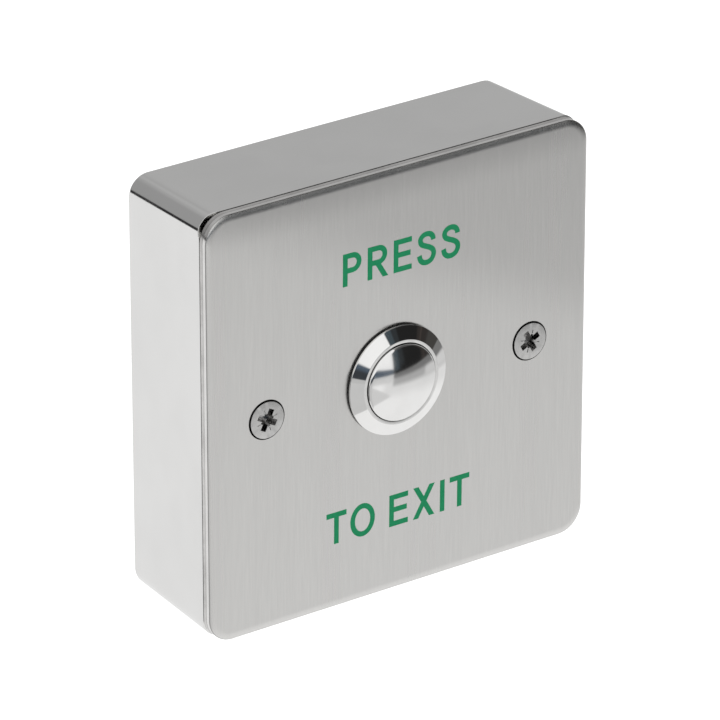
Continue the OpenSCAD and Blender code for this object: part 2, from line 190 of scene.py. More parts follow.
def rod(
    name: str, x: float, z: float, radii: Flat, heights: Flat, sides: int = 96
) -> bpy.types.Object:
    """Adds a round bar or cone along Y.

    Args:
        name: the piece's name.
        x: the axis's sideways place in millimetres.
        z: the axis's upright place in millimetres.
        radii: the radius nearer the wall, and the one further out.
        heights: the two ends' distances from the wall.
        sides: how many sides the bar has.

    Returns:
        The new piece, at the origin.
    """
    bpy.ops.object.select_all(action="DESELECT")
    bpy.ops.mesh.primitive_cone_add(
        vertices=sides,
        radius1=radii[0] * MM,
        radius2=radii[1] * MM,
        depth=(heights[1] - heights[0]) * MM,
        location=mm(x, -(heights[0] + heights[1]) / 2, z),
        rotation=(math.pi / 2, 0, 0),
    )
    return added(name)


@contextmanager
def editing(piece: bpy.types.Object, kind: Part) -> Iterator[None]:
    """Opens a piece in edit mode with nothing selected, and closes it again.

    Args:
        piece: the piece to edit.
        kind: which kind of element is to be selected.

    Yields:
        Nothing, while the piece is open.
    """
    take(piece)
    bpy.ops.object.mode_set(mode="EDIT")
    bpy.ops.mesh.select_mode(type=kind.value)
    bpy.ops.mesh.select_all(action="DESELECT")
    yield
    bpy.ops.object.mode_set(mode="OBJECT")


def pick(piece: bpy.types.Object, kind: Part, test: Callable[..., bool]) -> int:
    """Selects the elements that pass a test, of a piece in edit mode.

    Args:
        piece: the piece that is being edited.
        kind: which kind of element is tested.
        test: says of one element whether it is wanted.

    Returns:
        How many were selected.
    """
    bpy.ops.mesh.select_all(action="DESELECT")
    mesh = bmesh.from_edit_mesh(piece.data)
    found = [item for item in getattr(mesh, kind.listed) if test(item)]
    for item in found:
        item.select_set(True)
    mesh.select_flush_mode()
    bmesh.update_edit_mesh(piece.data)
    return len(found)


def runs_in(edge: bmesh.types.BMEdge) -> bool:
    """Whether an edge runs along Y, towards the wall."""
    return abs((edge.verts[0].co - edge.verts[1].co).normalized().y) > 0.9


def close_up(piece: bpy.types.Object) -> None:
    """Merges a mesh's doubles and turns all its faces outwards.

    Args:
        piece: the piece to mend.
    """
    with editing(piece, Part.VERTEX):
        bpy.ops.mesh.select_all(action="SELECT")
        bpy.ops.mesh.remove_doubles(threshold=1e-7)
        bpy.ops.mesh.normals_make_consistent(inside=False)


def apply_modifier(piece: bpy.types.Object, kind: str, **settings: object) -> None:
    """Adds a modifier with its settings and applies it at once.

    Args:
        piece: the piece that gets it.
        kind: Blender's own name of the modifier.
        settings: the modifier's settings by name.
    """
    take(piece)
    modifier = piece.modifiers.new(kind.lower(), kind)
    for key, value in settings.items():
        setattr(modifier, key, value)
    bpy.ops.object.modifier_apply(modifier=modifier.name)


def cut(piece: bpy.types.Object, *cutters: bpy.types.Object) -> None:
    """Cuts other shapes out of a piece and removes them.

    Args:
        piece: the piece to cut.
        cutters: the shapes to cut out of it.
    """
    for cutter in cutters:
        apply_modifier(piece, "BOOLEAN", operation="DIFFERENCE", solver="EXACT", object=cutter)
        bpy.data.objects.remove(cutter)


def soften(piece: bpy.types.Object, width: float, segments: int = 2, angle: float = 40) -> None:
    """Breaks a piece's sharp edges.

    Args:
        piece: the piece.
        width: the width of the broken edge in millimetres.
        segments: how many faces it gets.
        angle: the least angle in degrees that counts as sharp.
    """
    apply_modifier(
        piece,
        "BEVEL",
        width=width * MM,
        segments=segments,
        limit_method="ANGLE",
        angle_limit=math.radians(angle),
        miter_outer="MITER_ARC",
        harden_normals=False,
    )


def smooth(piece: bpy.types.Object, angle: float = 32) -> None:
    """Shades a piece smooth up to an angle in degrees, with flat faces kept flat.

    Args:
        piece: the piece to shade.
        angle: the widest angle in degrees that is shaded smooth.
    """
    take(piece)
    bpy.ops.object.shade_smooth_by_angle(angle=math.radians(angle))
    apply_modifier(piece, "WEIGHTED_NORMAL", keep_sharp=True, weight=60)


def joined(name: str, pieces: Sequence[bpy.types.Object]) -> bpy.types.Object:
    """Joins pieces into the first one and names it.

    Args:
        name: the name of the joined piece.
        pieces: the pieces, one at least.

    Returns:
        The first piece, which holds the others.
    """
    take(pieces[0])
    for other in pieces[1:]:
        other.select_set(True)
    bpy.ops.object.join()
    pieces[0].name = name
    return pieces[0]


def turn_about_y(piece: bpy.types.Object, degrees: float, x: float, z: float) -> None:
    """Turns a piece's mesh about an axis along Y, counterclockwise as the front shows it.

    Args:
        piece: the piece to turn.
        degrees: how far it turns.
        x: where the axis is sideways, in millimetres.
        z: how high the axis is, in millimetres.
    """
    with editing(piece, Part.FACE):
        bpy.ops.mesh.select_all(action="SELECT")
        bpy.ops.transform.rotate(
            value=math.radians(degrees), orient_axis="Y", center_override=mm(x, 0, z)
        )


def eased(corners: Sequence[Corner], steps: int = 4) -> list[Flat]:
    """Rounds the corners of a turned profile.

    Args:
        corners: radius, height and the length that the rounding takes off each side.
        steps: how many lengths make one rounding.

    Returns:
        The profile's points as radius and height.
    """
    points: list[Flat] = []
    for i, (radius, height, ease) in enumerate(corners):
        here = Vector((radius, height))
        if not ease:
            points.append((radius, height))
            continue
        before = Vector(corners[i - 1][:2])
        after = Vector(corners[(i + 1) % len(corners)][:2])
        start = here + (before - here).normalized() * ease
        end = here + (after - here).normalized() * ease
        for k in range(steps + 1):
            t = k / steps
            point = start * (1 - t) ** 2 + here * 2 * t * (1 - t) + end * t**2
            points.append((point.x, point.y))
    return points


def wire(name: str, points: Sequence[Vector]) -> bpy.types.Object:
    """Draws a line from point to point, by extruding one vertex along it.

    Args:
        name: the piece's name.
        points: the line's points in metres.

    Returns:
        The line as a mesh of edges.
    """
    bpy.ops.object.select_all(action="DESELECT")
    bpy.ops.mesh.primitive_plane_add(size=MM, location=points[0])
    line = added(name)
    with editing(line, Part.VERTEX):
        bpy.ops.mesh.select_all(action="SELECT")
        bpy.ops.mesh.merge(type="CENTER")
        for here, there in zip(points, points[1:]):
            bpy.ops.mesh.extrude_vertices_move(TRANSFORM_OT_translate={"value": there - here})
    return line


def turned(
    name: str, x: float, z: float, profile: Sequence[Flat], steps: int = 128
) -> bpy.types.Object:
    """Turns a profile round an axis along Y, as on a lathe.

    Args:
        name: the piece's name.
        x: the axis's sideways place in millimetres.
        z: the axis's upright place in millimetres.
        profile: radii and heights above the plate's front. It is closed, or ends on the axis.
        steps: how many sides a turn gets.

    Returns:
        The turned piece, closed and facing outwards.
    """
    piece = wire(name, [mm(x + radius, -(FACE + height), z) for radius, height in profile])
    with editing(piece, Part.VERTEX):
        bpy.ops.mesh.select_all(action="SELECT")
        bpy.ops.mesh.spin(steps=steps, angle=FULL_TURN, center=mm(x, 0, z), axis=(0, 1, 0))
    close_up(piece)
    return piece


def thread(radius: float, depth: float, start: float, end: float, pitch: float) -> list[Flat]:
    """The profile of a thread's ridges.

    Args:
        radius: the outer radius.
        depth: the depth of the grooves.
        start: the height of the first ridge.
        end: the height of the last ridge, below the first.
        pitch: the distance from ridge to ridge.

    Returns:
        The points of the ridges and grooves.
    """
    count = int((start - end) / pitch)
    points = []
    for i in range(count):
        top = start - i * pitch
        points += [(radius, top), (radius, top - pitch * 0.15)]
        points += [(radius - depth, top - pitch * 0.5), (radius - depth, top - pitch * 0.65)]
    return points + [(radius, start - count * pitch)]


# Finishes


class Wiring:
    """A node tree to which nodes are added."""

    def __init__(self, tree: bpy.types.NodeTree) -> None:
        """Keeps the tree."""
        self.tree = tree

    def node(self, kind: str, inputs: Inputs | None = None, **settings: object) -> bpy.types.Node:
        """Adds a node.

        Args:
            kind: the node's type.
            inputs: values or sockets by input name.
            settings: the node's own properties.

        Returns:
            The new node.
        """
        made = self.tree.nodes.new(kind)
        for key, value in settings.items():
            setattr(made, key, value)
        for key, value in (inputs or {}).items():
            if isinstance(value, Socket):
                self.tree.links.new(value, made.inputs[key])
            else:
                made.inputs[key].default_value = value
        return made


class Surface(Wiring):
    """A material's node tree round one shader, on the piece's own coordinates."""

    def __init__(self, name: str) -> None:
        """Makes the empty material.

        Args:
            name: the material's name.
        """
        self.material = bpy.data.materials.new(name)
        self.material.use_nodes = True
        super().__init__(self.material.node_tree)
        self.shader = self.tree.nodes["Principled BSDF"]
        self.coordinates = self.node("ShaderNodeTexCoord").outputs["Object"]
        self.relief: Socket | None = None

    def set(self, **values: object) -> None:
        """Sets the shader's own sockets: underscores stand for spaces in their names.

        Args:
            values: the sockets' values by name.
        """
        for key, value in values.items():
            socket = self.shader.inputs[key.replace("_", " ").capitalize().replace("ior", "IOR")]
            socket.default_value = value

    def link(self, socket: str, value: Socket) -> None:
        """Links a pattern to one of the shader's sockets."""
        self.tree.links.new(value, self.shader.inputs[socket])

    def noise(self, scale: Sequence[float], detail: float = 3) -> Socket:
        """Noise with its own number of features per metre along each axis.

        Args:
            scale: the number of features per metre along X, Y and Z.
            detail: how many finer layers the noise has.

        Returns:
            The noise, from nought to one.
        """
        place = self.node("ShaderNodeMapping", {"Vector": self.coordinates, "Scale": tuple(scale)})
        inputs = {"Vector": place.outputs[0], "Scale": 1.0, "Detail": detail, "Roughness": 0.55}
        return self.node("ShaderNodeTexNoise", inputs).outputs[0]

    def spread(
        self, value: Socket, low: float, high: float, start: float = 0.3, end: float = 0.7
    ) -> Socket:
        """Maps a pattern between start and end to values between low and high."""
        inputs = {"Value": value, "From Min": start, "From Max": end, "To Min": low, "To Max": high}
        return self.node("ShaderNodeMapRange", inputs, interpolation_type="SMOOTHSTEP").outputs[0]

    def blend(self, share: Socket, first: object, second: object) -> Socket:
        """Mixes two colours, or sockets, by a pattern's share of the second.

        Args:
            share: the pattern, from nought to one.
            first: the colour where the pattern is nought.
            second: the colour where the pattern is one.

        Returns:
            The mixed colour.
        """
        colours = [(*c, 1) if isinstance(c, tuple) else c for c in (first, second)]
        mix = self.node("ShaderNodeMix", {0: share, 6: colours[0], 7: colours[1]}, data_type="RGBA")
        return mix.outputs[2]

    def bump(self, height: Socket, depth: float, strength: float = 1.0) -> None:
        """Adds a relief of a depth in millimetres to those before it.

        Args:
            height: the pattern that gives the relief its height.
            depth: how deep the relief is, in millimetres.
            strength: how strongly it shows, from nought to one.
        """
        inputs = {"Height": height, "Distance": depth * MM, "Strength": strength}
        if self.relief:
            inputs["Normal"] = self.relief
        self.relief = self.node("ShaderNodeBump", inputs).outputs[0]
        self.link("Normal", self.relief)


@dataclass(frozen=True)
class SatinSteel:
    """Stainless steel with a fine upright grain, that bows back a little towards its top edge."""

    colour: Colour = (0.735, 0.728, 0.712)
    dark: Colour = (0.7, 0.694, 0.68)
    roughness: float = 0.26
    anisotropy: float = 0.75
    # how far the plate leans back at the top, and from which to which height in metres
    bow: float = 0.027
    bow_span: Flat = (0.014, 0.032)
    edge_bow: float = 0.035
    edge_span: Flat = (0.035, 0.0432)
    # how much higher the lean sets in with each metre to the left
    slant: float = 0.45

    def made(self) -> bpy.types.Material:
        """Builds the material.

        Returns:
            The new material.
        """
        s = Surface("satin_steel")
        s.set(metallic=1.0, roughness=self.roughness, anisotropic=self.anisotropy)
        across = s.node("ShaderNodeCombineXYZ", {"X": 1.0, "Y": 0.0, "Z": 0.0})
        s.link("Tangent", across.outputs[0])
        place = s.node("ShaderNodeSeparateXYZ", {0: s.coordinates}).outputs
        inputs = {0: place["X"], 1: self.slant, 2: place["Z"]}
        slant = s.node("ShaderNodeMath", inputs, operation="MULTIPLY_ADD")
        bow = s.spread(slant.outputs[0], 0, self.bow, *self.bow_span)
        last = s.spread(place["Z"], 0, self.edge_bow, *self.edge_span)
        tilt = s.node("ShaderNodeMath", {0: bow, 1: last}, operation="ADD")
        lift = s.node("ShaderNodeCombineXYZ", {"Z": tilt.outputs[0]})
        normal = s.node("ShaderNodeNewGeometry").outputs["Normal"]
        leant = s.node("ShaderNodeVectorMath", {0: normal, 1: lift.outputs[0]}, operation="ADD")
        unit = s.node("ShaderNodeVectorMath", {0: leant.outputs[0]}, operation="NORMALIZE")
        s.relief = unit.outputs[0]
        fine = s.noise((6500, 6500, 160), 2)
        hair = s.noise((2600, 2600, 80), 2)
        streak = s.noise((420, 420, 12), 2)
        shade = s.blend(s.spread(fine, 0, 1), self.dark, self.colour)
        s.link("Base Color", s.blend(s.spread(hair, 0, 0.35), shade, self.dark))
        s.link("Roughness", s.spread(streak, self.roughness - 0.01, self.roughness + 0.015))
        s.bump(fine, 0.002, 0.4)
        s.bump(hair, 0.0015, 0.3)
        return s.material


@dataclass(frozen=True)
class PolishedSteel:
    """Buffed steel, a little cloudy, with faint lines from the wheel."""

    name: str = "polished_box_steel"
    colour: Colour = (0.76, 0.757, 0.75)
    cloud: Colour = (0.735, 0.732, 0.725)
    roughness: float = 0.10
    wave: float = 0.02
    lines: float = 0.0012

    def made(self) -> bpy.types.Material:
        """Builds the material.

        Returns:
            The new material.
        """
        s = Surface(self.name)
        s.set(metallic=1.0, roughness=self.roughness)
        haze = s.noise((70, 70, 55), 4)
        wheel = s.noise((60, 3200, 3200), 3)
        s.link("Base Color", s.blend(s.spread(haze, 0, 1), self.colour, self.cloud))
        s.link("Roughness", s.spread(haze, self.roughness - 0.02, self.roughness + 0.04))
        s.bump(s.noise((38, 38, 38), 1), self.wave, 0.6)
        s.bump(wheel, self.lines, 0.4)
        return s.material


@dataclass(frozen=True)
class MirrorSteel:
    """Turned and mirror polished steel, with hairlines round its axis."""

    name: str = "mirror_steel"
    colour: Colour = (0.86, 0.855, 0.845)
    roughness: float = 0.035

    def made(self) -> bpy.types.Material:
        """Builds the material.

        Returns:
            The new material.
        """
        s = Surface(self.name)
        s.set(metallic=1.0, roughness=self.roughness)
        haze = s.noise((240, 240, 240), 3)
        dim = tuple(c * 0.97 for c in self.colour)
        s.link("Base Color", s.blend(s.spread(haze, 0, 1), self.colour, dim))
        s.link("Roughness", s.spread(haze, self.roughness, self.roughness + 0.025))
        s.bump(s.noise((150, 150, 150), 1), 0.002, 0.5)
        return s.material


@dataclass(frozen=True)
class TurnedSteel:
    """Steel with rings left by the lathe round an axis along Y."""

    name: str
    x: float
    z: float
    colour: Colour = (0.56, 0.55, 0.53)
    roughness: float = 0.28
    rings: float = 9000

    def made(self) -> bpy.types.Material:
        """Builds the material.

        Returns:
            The new material.
        """
        s = Surface(self.name)
        s.set(metallic=1.0, roughness=self.roughness)
        inputs = {"Vector": s.coordinates, "Location": (-self.x * MM, 0, -self.z * MM)}
        centred = s.node("ShaderNodeMapping", inputs)
        inputs = {0: centred.outputs[0], 1: (1, 0, 1)}
        flat = s.node("ShaderNodeVectorMath", inputs, operation="MULTIPLY")
        length = s.node("ShaderNodeVectorMath", {0: flat.outputs[0]}, operation="LENGTH")
        inputs = {"W": length.outputs["Value"], "Scale": self.rings, "Detail": 3.0}
        rings = s.node("ShaderNodeTexNoise", inputs, noise_dimensions="1D").outputs[0]
        haze = s.noise((500, 500, 500), 3)
        dim = tuple(c * 0.86 for c in self.colour)
        s.link("Base Color", s.blend(s.spread(haze, 0, 1), self.colour, dim))
        s.link("Roughness", s.spread(rings, self.roughness - 0.05, self.roughness + 0.08))
        s.bump(rings, 0.004, 0.5)
        return s.material


@dataclass(frozen=True)
class PlainMetal:
    """Worked metal with a cloudy tone and small dents, such as plated steel, brass or wire."""

    name: str
    colour: Colour
    dark: Colour
    roughness: float
    grain: tuple[float, float, float] = (900, 900, 900)
    depth: float = 0.006

    def made(self) -> bpy.types.Material:
        """Builds the material.

        Returns:
            The new material.
        """
        s = Surface(self.name)
        s.set(metallic=1.0, roughness=self.roughness)
        cloud = s.noise((180, 180, 180), 4)
        grain = s.noise(self.grain, 3)
        s.link("Base Color", s.blend(s.spread(cloud, 0, 1), self.colour, self.dark))
        s.link("Roughness", s.spread(grain, self.roughness - 0.05, self.roughness + 0.08))
        s.bump(grain, self.depth, 0.5)
        return s.material


@dataclass(frozen=True)
class Moulded:
    """Moulded plastic or rubber with a fine eroded skin."""

    name: str
    colour: Colour
    light: Colour
    roughness: float
    skin: float = 2600
    depth: float = 0.012

    def made(self) -> bpy.types.Material:
        """Builds the material.

        Returns:
            The new material.
        """
        s = Surface(self.name)
        s.set(roughness=self.roughness)
        cloud = s.noise((220, 220, 220), 3)
        skin = s.noise((self.skin,) * 3, 3)
        s.link("Base Color", s.blend(s.spread(cloud, 0, 1), self.colour, self.light))
        s.link("Roughness", s.spread(skin, self.roughness - 0.06, self.roughness + 0.06))
        s.bump(skin, self.depth, 0.6)
        return s.material


@dataclass(frozen=True)
class PaintFill:
    """Green paint on steel, slightly uneven, with the grain just showing in it."""

    colour: Colour = (0.018, 0.43, 0.175)
    thin: Colour = (0.03, 0.47, 0.2)
    roughness: float = 0.45
    gloss: float = 0.2

    def made(self) -> bpy.types.Material:
        """Builds the material.

        Returns:
            The new material.
        """
        s = Surface("green_paint")
        s.set(roughness=self.roughness)
        s.shader.inputs["Specular IOR Level"].default_value = self.gloss
        grain = s.noise((3000, 3000, 120), 3)
        cloud = s.noise((260, 260, 260), 3)
        tone = s.blend(s.spread(cloud, 0, 1), self.colour, self.thin)
        s.link("Base Color", s.blend(s.spread(grain, 0, 0.4), tone, self.thin))
        s.link("Roughness", s.spread(cloud, self.roughness - 0.05, self.roughness + 0.08))
        s.bump(grain, 0.004, 0.5)
        return s.material


class FinishBook:
    """All finishes, each made once."""

    def __init__(self) -> None:
        """Makes the materials."""
        self.plate = SatinSteel().made()
        sheared = ((0.66, 0.65, 0.64), (0.5, 0.49, 0.48), 0.3, (900, 500, 900), 0.02)
        self.sheared = PlainMetal("sheared_steel", *sheared).made()
        burnished = ((0.78, 0.77, 0.76), (0.7, 0.69, 0.68), 0.2, (260, 2500, 260))
        self.burnished = PlainMetal("burnished_steel", *burnished).made()
        # painted shade: a darker steel for a thin line on the plate's edge and the roll's first ring,
        # standing in for shaded grooves
        shade_line = ((0.43, 0.425, 0.415), (0.37, 0.365, 0.36), 0.35)
        self.groove_shade = PlainMetal("painted_groove_shade", *shade_line).made()
        # painted shade: near-black steel in the countersinks and on the screw heads' sides, for the gap
        # between them in shade
        gap_shade = ((0.07, 0.068, 0.066), (0.04, 0.039, 0.038), 0.5)
        self.gap_shade = PlainMetal("painted_gap_shade", *gap_shade).made()
        self.box = PolishedSteel().made()
        self.bezel = MirrorSteel("bezel_steel").made()
        self.cap = MirrorSteel("cap_steel", (0.84, 0.835, 0.827), 0.085).made()
        lip = ((0.83, 0.825, 0.815), 0.12, 5000)
        self.lip = TurnedSteel("lip_steel", BUTTON_X, BUTTON_Z, *lip).made()
        # partly painted shade, partly the recess's own finish: a darker, glossier steel than the head,
        # so that the cross recess reads dark
        recess = ((0.56, 0.555, 0.55), (0.44, 0.435, 0.43), 0.14)
        self.recess = PlainMetal("recess_shaded_steel", *recess).made()
        self.zinc = PlainMetal("zinc_plate", (0.62, 0.63, 0.64), (0.5, 0.52, 0.54), 0.3).made()
        self.brass = PlainMetal("turned_brass", (0.72, 0.50, 0.20), (0.6, 0.41, 0.16), 0.26).made()
        self.wire = PlainMetal("drawn_wire", (0.56, 0.56, 0.57), (0.42, 0.42, 0.44), 0.22).made()
        rubber = ((0.022, 0.022, 0.023), (0.032, 0.032, 0.033), 0.62)
        self.rubber = Moulded("soft_rubber", *rubber).made()
        black = ((0.02, 0.02, 0.022), (0.028, 0.028, 0.03), 0.4)
        self.black = Moulded("black_moulding", *black).made()
        self.ivory = Moulded("ivory_moulding", (0.66, 0.6, 0.46), (0.7, 0.65, 0.52), 0.38).made()
        self.paint = PaintFill().made()


def dress(
    piece: bpy.types.Object,
    material: bpy.types.Material,
    body: str = "root",
    replaces: Sequence[str] = (),
) -> bpy.types.Object:
    """Gives a finished piece its material and body, and hides the CAD nodes that it stands for.

    Args:
        piece: the finished piece.
        material: its material, where it has none yet.
        body: the CAD body that it moves with.
        replaces: the CAD nodes that it stands for.

    Returns:
        The same piece.
    """
    if not piece.data.materials:
        piece.data.materials.append(material)
    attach(piece, body)
    if replaces:
        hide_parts(*replaces)
    log.info("%s: %d faces, rides on %s", piece.name, len(piece.data.polygons), body)
    return piece


# The studio


@dataclass(frozen=True)
class Panel:
    """A soft-edged part of the room, by the directions in degrees that it covers.

    Azimuth 0 is in front of the plate and grows to the right of someone in the room.
    """

    azimuth: tuple[float, float]
    elevation: tuple[float, float]
    colour: Colour
    soft: float = 1.0
    side: float = 1.0
    # how far the lower and the upper edge rise with each degree of azimuth
    lean: tuple[float, float] = (0.0, 0.0)


def grey(level: float) -> Colour:
    """A neutral colour."""
    return (level, level, level)


@dataclass
class Studio:
    """Camera, floor and the room that the polished steel mirrors."""

    camera_at: tuple[float, float, float] = (-0.61913, -0.89273, 0.49957)
    looks_at: tuple[float, float, float] = (0.003827, -0.008973, -0.003935)
    lens: float = 314.46
    floor_z: float = -0.75
    floor_size: float = 14.0
    room: Colour = grey(0.5)
    table: Colour = grey(0.95)
    # the table's far edge in degrees: its mean drop, how that swings with azimuth, and its softness
    edge_drop: float = 7.4
    edge_swing: float = 4.6
    edge_soft: float = 0.6
    above: tuple[Panel, ...] = (
        Panel((-181, -95), (-12, 34.5), grey(0.375), 3, 3),
        Panel((152, 170), (32, 60), grey(0.455), 3, 4),
        Panel((-181, -95), (-12, 4.5), grey(0.03)),
        Panel((-95, -48), (-20, 60), grey(0.8), 3, 3),
        Panel((-48, 18.9), (-20, 70), grey(1.0)),
        Panel((-48, 18.9), (-20, 2.6), (0.085, 0.112, 0.148), lean=(0, -0.15)),
        Panel((-48, -3), (-20, -0.6), (0.085, 0.112, 0.148), 1, 2),
        Panel((-48, -4), (-20, -4.5), (0.045, 0.05, 0.057), 2, 2),
        Panel((18.9, 78), (-20, 60), grey(0.018)),
        Panel((18.9, 78), (19, 60), grey(0.09), 3),
        Panel((18.9, 25.5), (-9, 19), (0.06, 0.078, 0.09), 2, 0.8),
        Panel((25, 30.5), (-6, 19), (0.034, 0.038, 0.041), 2),
        Panel((51, 60.5), (-20, 19), (0.036, 0.032, 0.03)),
        Panel((54, 55.2), (-20, 19), (0.06, 0.05, 0.045), 1, 0.4),
        Panel((60.5, 78), (-20, 19), (0.06, 0.058, 0.055), 1, 1.5),
        Panel((78, 130), (-20, 60), grey(0.5), 3, 3),
    )
    below: tuple[Panel, ...] = (
        Panel((10, 95), (-31, 0), grey(0.81), 5, 4),
        Panel((18.9, 95), (-22.5, 0), grey(0.45), 2.5, 1.5),
        Panel((57, 95), (-22.5, 0), grey(0.68), 2.5, 2),
        Panel((18.9, 76), (-15.7, 0), grey(0.2), 1.7, 1.5),
        Panel((-50, 18.5), (-19, 0), grey(0.7), 2),
        Panel((-50, -3), (-22, 0), grey(0.56), 2, 3),
        Panel((-50, 20), (-66.5, 3), grey(0.7), 0.8, 1, (0.5, -0.5)),
        Panel((-50, -3), (-66.5, 3), grey(0.62), 0.8, 2, (0.5, -0.5)),
        Panel((-100, -50), (-45, 0), grey(0.25), 4, 4),
    )

    def place_camera(self) -> None:
        """Puts the camera at the photograph's viewing angle."""
        data = bpy.data.cameras.new("camera")
        data.lens = self.lens
        data.sensor_width = 36.0
        data.clip_start, data.clip_end = 0.05, 50
        camera = bpy.data.objects.new("camera", data)
        camera.location = self.camera_at
        aim = Vector(self.looks_at) - Vector(self.camera_at)
        camera.rotation_euler = aim.to_track_quat("-Z", "Y").to_euler()
        bpy.context.scene.collection.objects.link(camera)
        bpy.context.scene.camera = camera

    def lay_floor(self) -> None:
        """Lays the pale floor far below, as the object hangs on its wall."""
        bpy.ops.object.select_all(action="DESELECT")
        bpy.ops.mesh.primitive_plane_add(size=self.floor_size, location=(0, 0, self.floor_z))
        floor = added("floor")
        s = Surface("pale_floor")
        out = s.tree.nodes["Material Output"]
        tint = s.spread(s.noise((3, 3, 3), 2), 0.5, 0.52)
        pale = s.blend(tint, (0.5, 0.5, 0.5), (0.52, 0.52, 0.515))
        diffuse = s.node("ShaderNodeBsdfDiffuse", {"Color": pale})
        seen = s.node("ShaderNodeLightPath").outputs["Is Camera Ray"]
        glow = s.node("ShaderNodeEmission", {"Color": (1, 1, 1, 1), "Strength": seen})
        both = s.node("ShaderNodeAddShader", {0: diffuse.outputs[0], 1: glow.outputs[0]})
        s.tree.links.new(both.outputs[0], out.inputs["Surface"])
        s.tree.nodes.remove(s.shader)
        floor.data.materials.append(s.material)
        floor.visible_glossy = False

    def light_room(self) -> None:
        """Builds the world: white for the camera, and the room's panels for the light."""
        world = bpy.data.worlds.new("room")
        bpy.context.scene.world = world
        world.use_nodes = True
        RoomLight(world.node_tree).build(self)

    def build(self) -> None:
        """Sets the view transform and makes camera, floor and room."""
        bpy.context.scene.view_settings.view_transform = "Standard"
        self.place_camera()
        self.lay_floor()
        self.light_room()
        log.info("studio: %d panels", len(self.above) + len(self.below))


class RoomLight(Wiring):
    """The world's node tree, painted by direction."""

    def __init__(self, tree: bpy.types.NodeTree) -> None:
        """Finds the direction of each ray as azimuth and elevation in degrees.

        Args:
            tree: the world's node tree.
        """
        super().__init__(tree)
        tree.nodes.clear()
        away = self.node("ShaderNodeTexCoord").outputs["Generated"]
        axes = self.node("ShaderNodeSeparateXYZ", {0: away}).outputs
        back = self.maths("MULTIPLY", axes[1], -1.0)
        self.turn = self.maths("ARCTAN2", axes[0], back)
        self.azimuth = self.maths("DEGREES", self.turn)
        self.elevation = self.maths("DEGREES", self.maths("ARCSINE", axes[2]))

    def maths(self, what: str, *values: object) -> Socket:
        """One sum on sockets or numbers."""
        return self.node("ShaderNodeMath", dict(enumerate(values)), operation=what).outputs[0]

    def rise(self, value: Socket, edge: float, soft: float) -> Socket:
        """Goes softly from nought to one as a value passes an edge."""
        inputs = {"Value": value, "From Min": edge - soft, "From Max": edge + soft}
        return self.node("ShaderNodeMapRange", inputs, interpolation_type="SMOOTHSTEP").outputs[0]

    def across(self, panel: Panel) -> Socket:
        """One between a panel's sides, and nought outside."""
        near, far = (self.rise(self.azimuth, edge, panel.side) for edge in panel.azimuth)
        return self.maths("SUBTRACT", near, far)

    def upright(self, panel: Panel) -> Socket:
        """One between a panel's lower and upper edge, and nought outside.

        Args:
            panel: the panel.

        Returns:
            The panel's share by height.
        """
        inside = []
        for edge, lean in zip(panel.elevation, panel.lean):
            aside = self.maths("SUBTRACT", self.azimuth, panel.azimuth[0])
            slant = self.maths("MULTIPLY", aside, lean)
            level = self.maths("SUBTRACT", self.elevation, slant)
            inside.append(self.rise(level, edge, panel.soft))
        return self.maths("MAXIMUM", self.maths("SUBTRACT", *inside), 0.0)

    def paint(self, under: Socket, share: Socket, over: object) -> Socket:
        """Lays a colour over what is there, by its share."""
        mix = self.node("ShaderNodeMix", {0: share, 6: under, 7: over}, data_type="RGBA")
        return mix.outputs[2]

    def lay(self, under: Socket, panels: Sequence[Panel]) -> Socket:
        """Lays panels over what is there, the last one on top.

        Args:
            under: the colour that is there.
            panels: the panels, the top one last.

        Returns:
            The colour with the panels on it.
        """
        for panel in panels:
            share = self.maths("MULTIPLY", self.across(panel), self.upright(panel))
            under = self.paint(under, share, (*panel.colour, 1))
        return under

    def build(self, studio: Studio) -> None:
        """Paints room, panels and table, with white for the camera.

        Args:
            studio: the studio with its colours and panels.
        """
        colour = self.node("ShaderNodeRGB").outputs[0]
        colour.default_value = (*studio.room, 1)
        room = self.lay(colour, studio.above)
        plain = self.node("ShaderNodeRGB").outputs[0]
        plain.default_value = (*studio.table, 1)
        table = self.lay(plain, studio.below)
        # the edge is lower in front than behind
        edge = self.maths("MULTIPLY", self.maths("COSINE", self.turn), studio.edge_swing)
        over = self.maths("ADD", self.maths("ADD", self.elevation, edge), studio.edge_drop)
        whole = self.paint(table, self.rise(over, 0.0, studio.edge_soft), room)
        lit = self.node("ShaderNodeBackground", {"Color": whole, "Strength": 1.0})
        white = self.node("ShaderNodeBackground", {"Color": (1, 1, 1, 1), "Strength": 1.0})
        seen = self.node("ShaderNodeLightPath").outputs["Is Camera Ray"]
        both = self.node("ShaderNodeMixShader", {0: seen, 1: lit.outputs[0], 2: white.outputs[0]})
        self.node("ShaderNodeOutputWorld", {"Surface": both.outputs[0]})


# Face plate, its screws and its lettering


class PlateSkin(Enum):
    """The plate's material slots: its face, the zones that the punch leaves on its edge, and painted
    shade on a line of the edge and in the holes.
    """

    FACE = 0
    SHEARED = 1
    BURNISHED = 2
    # painted shade: the thin dark line on the edge and the roll's first ring
    TORN = 3
    # painted shade in the countersinks and screw holes
    HOLE = 4


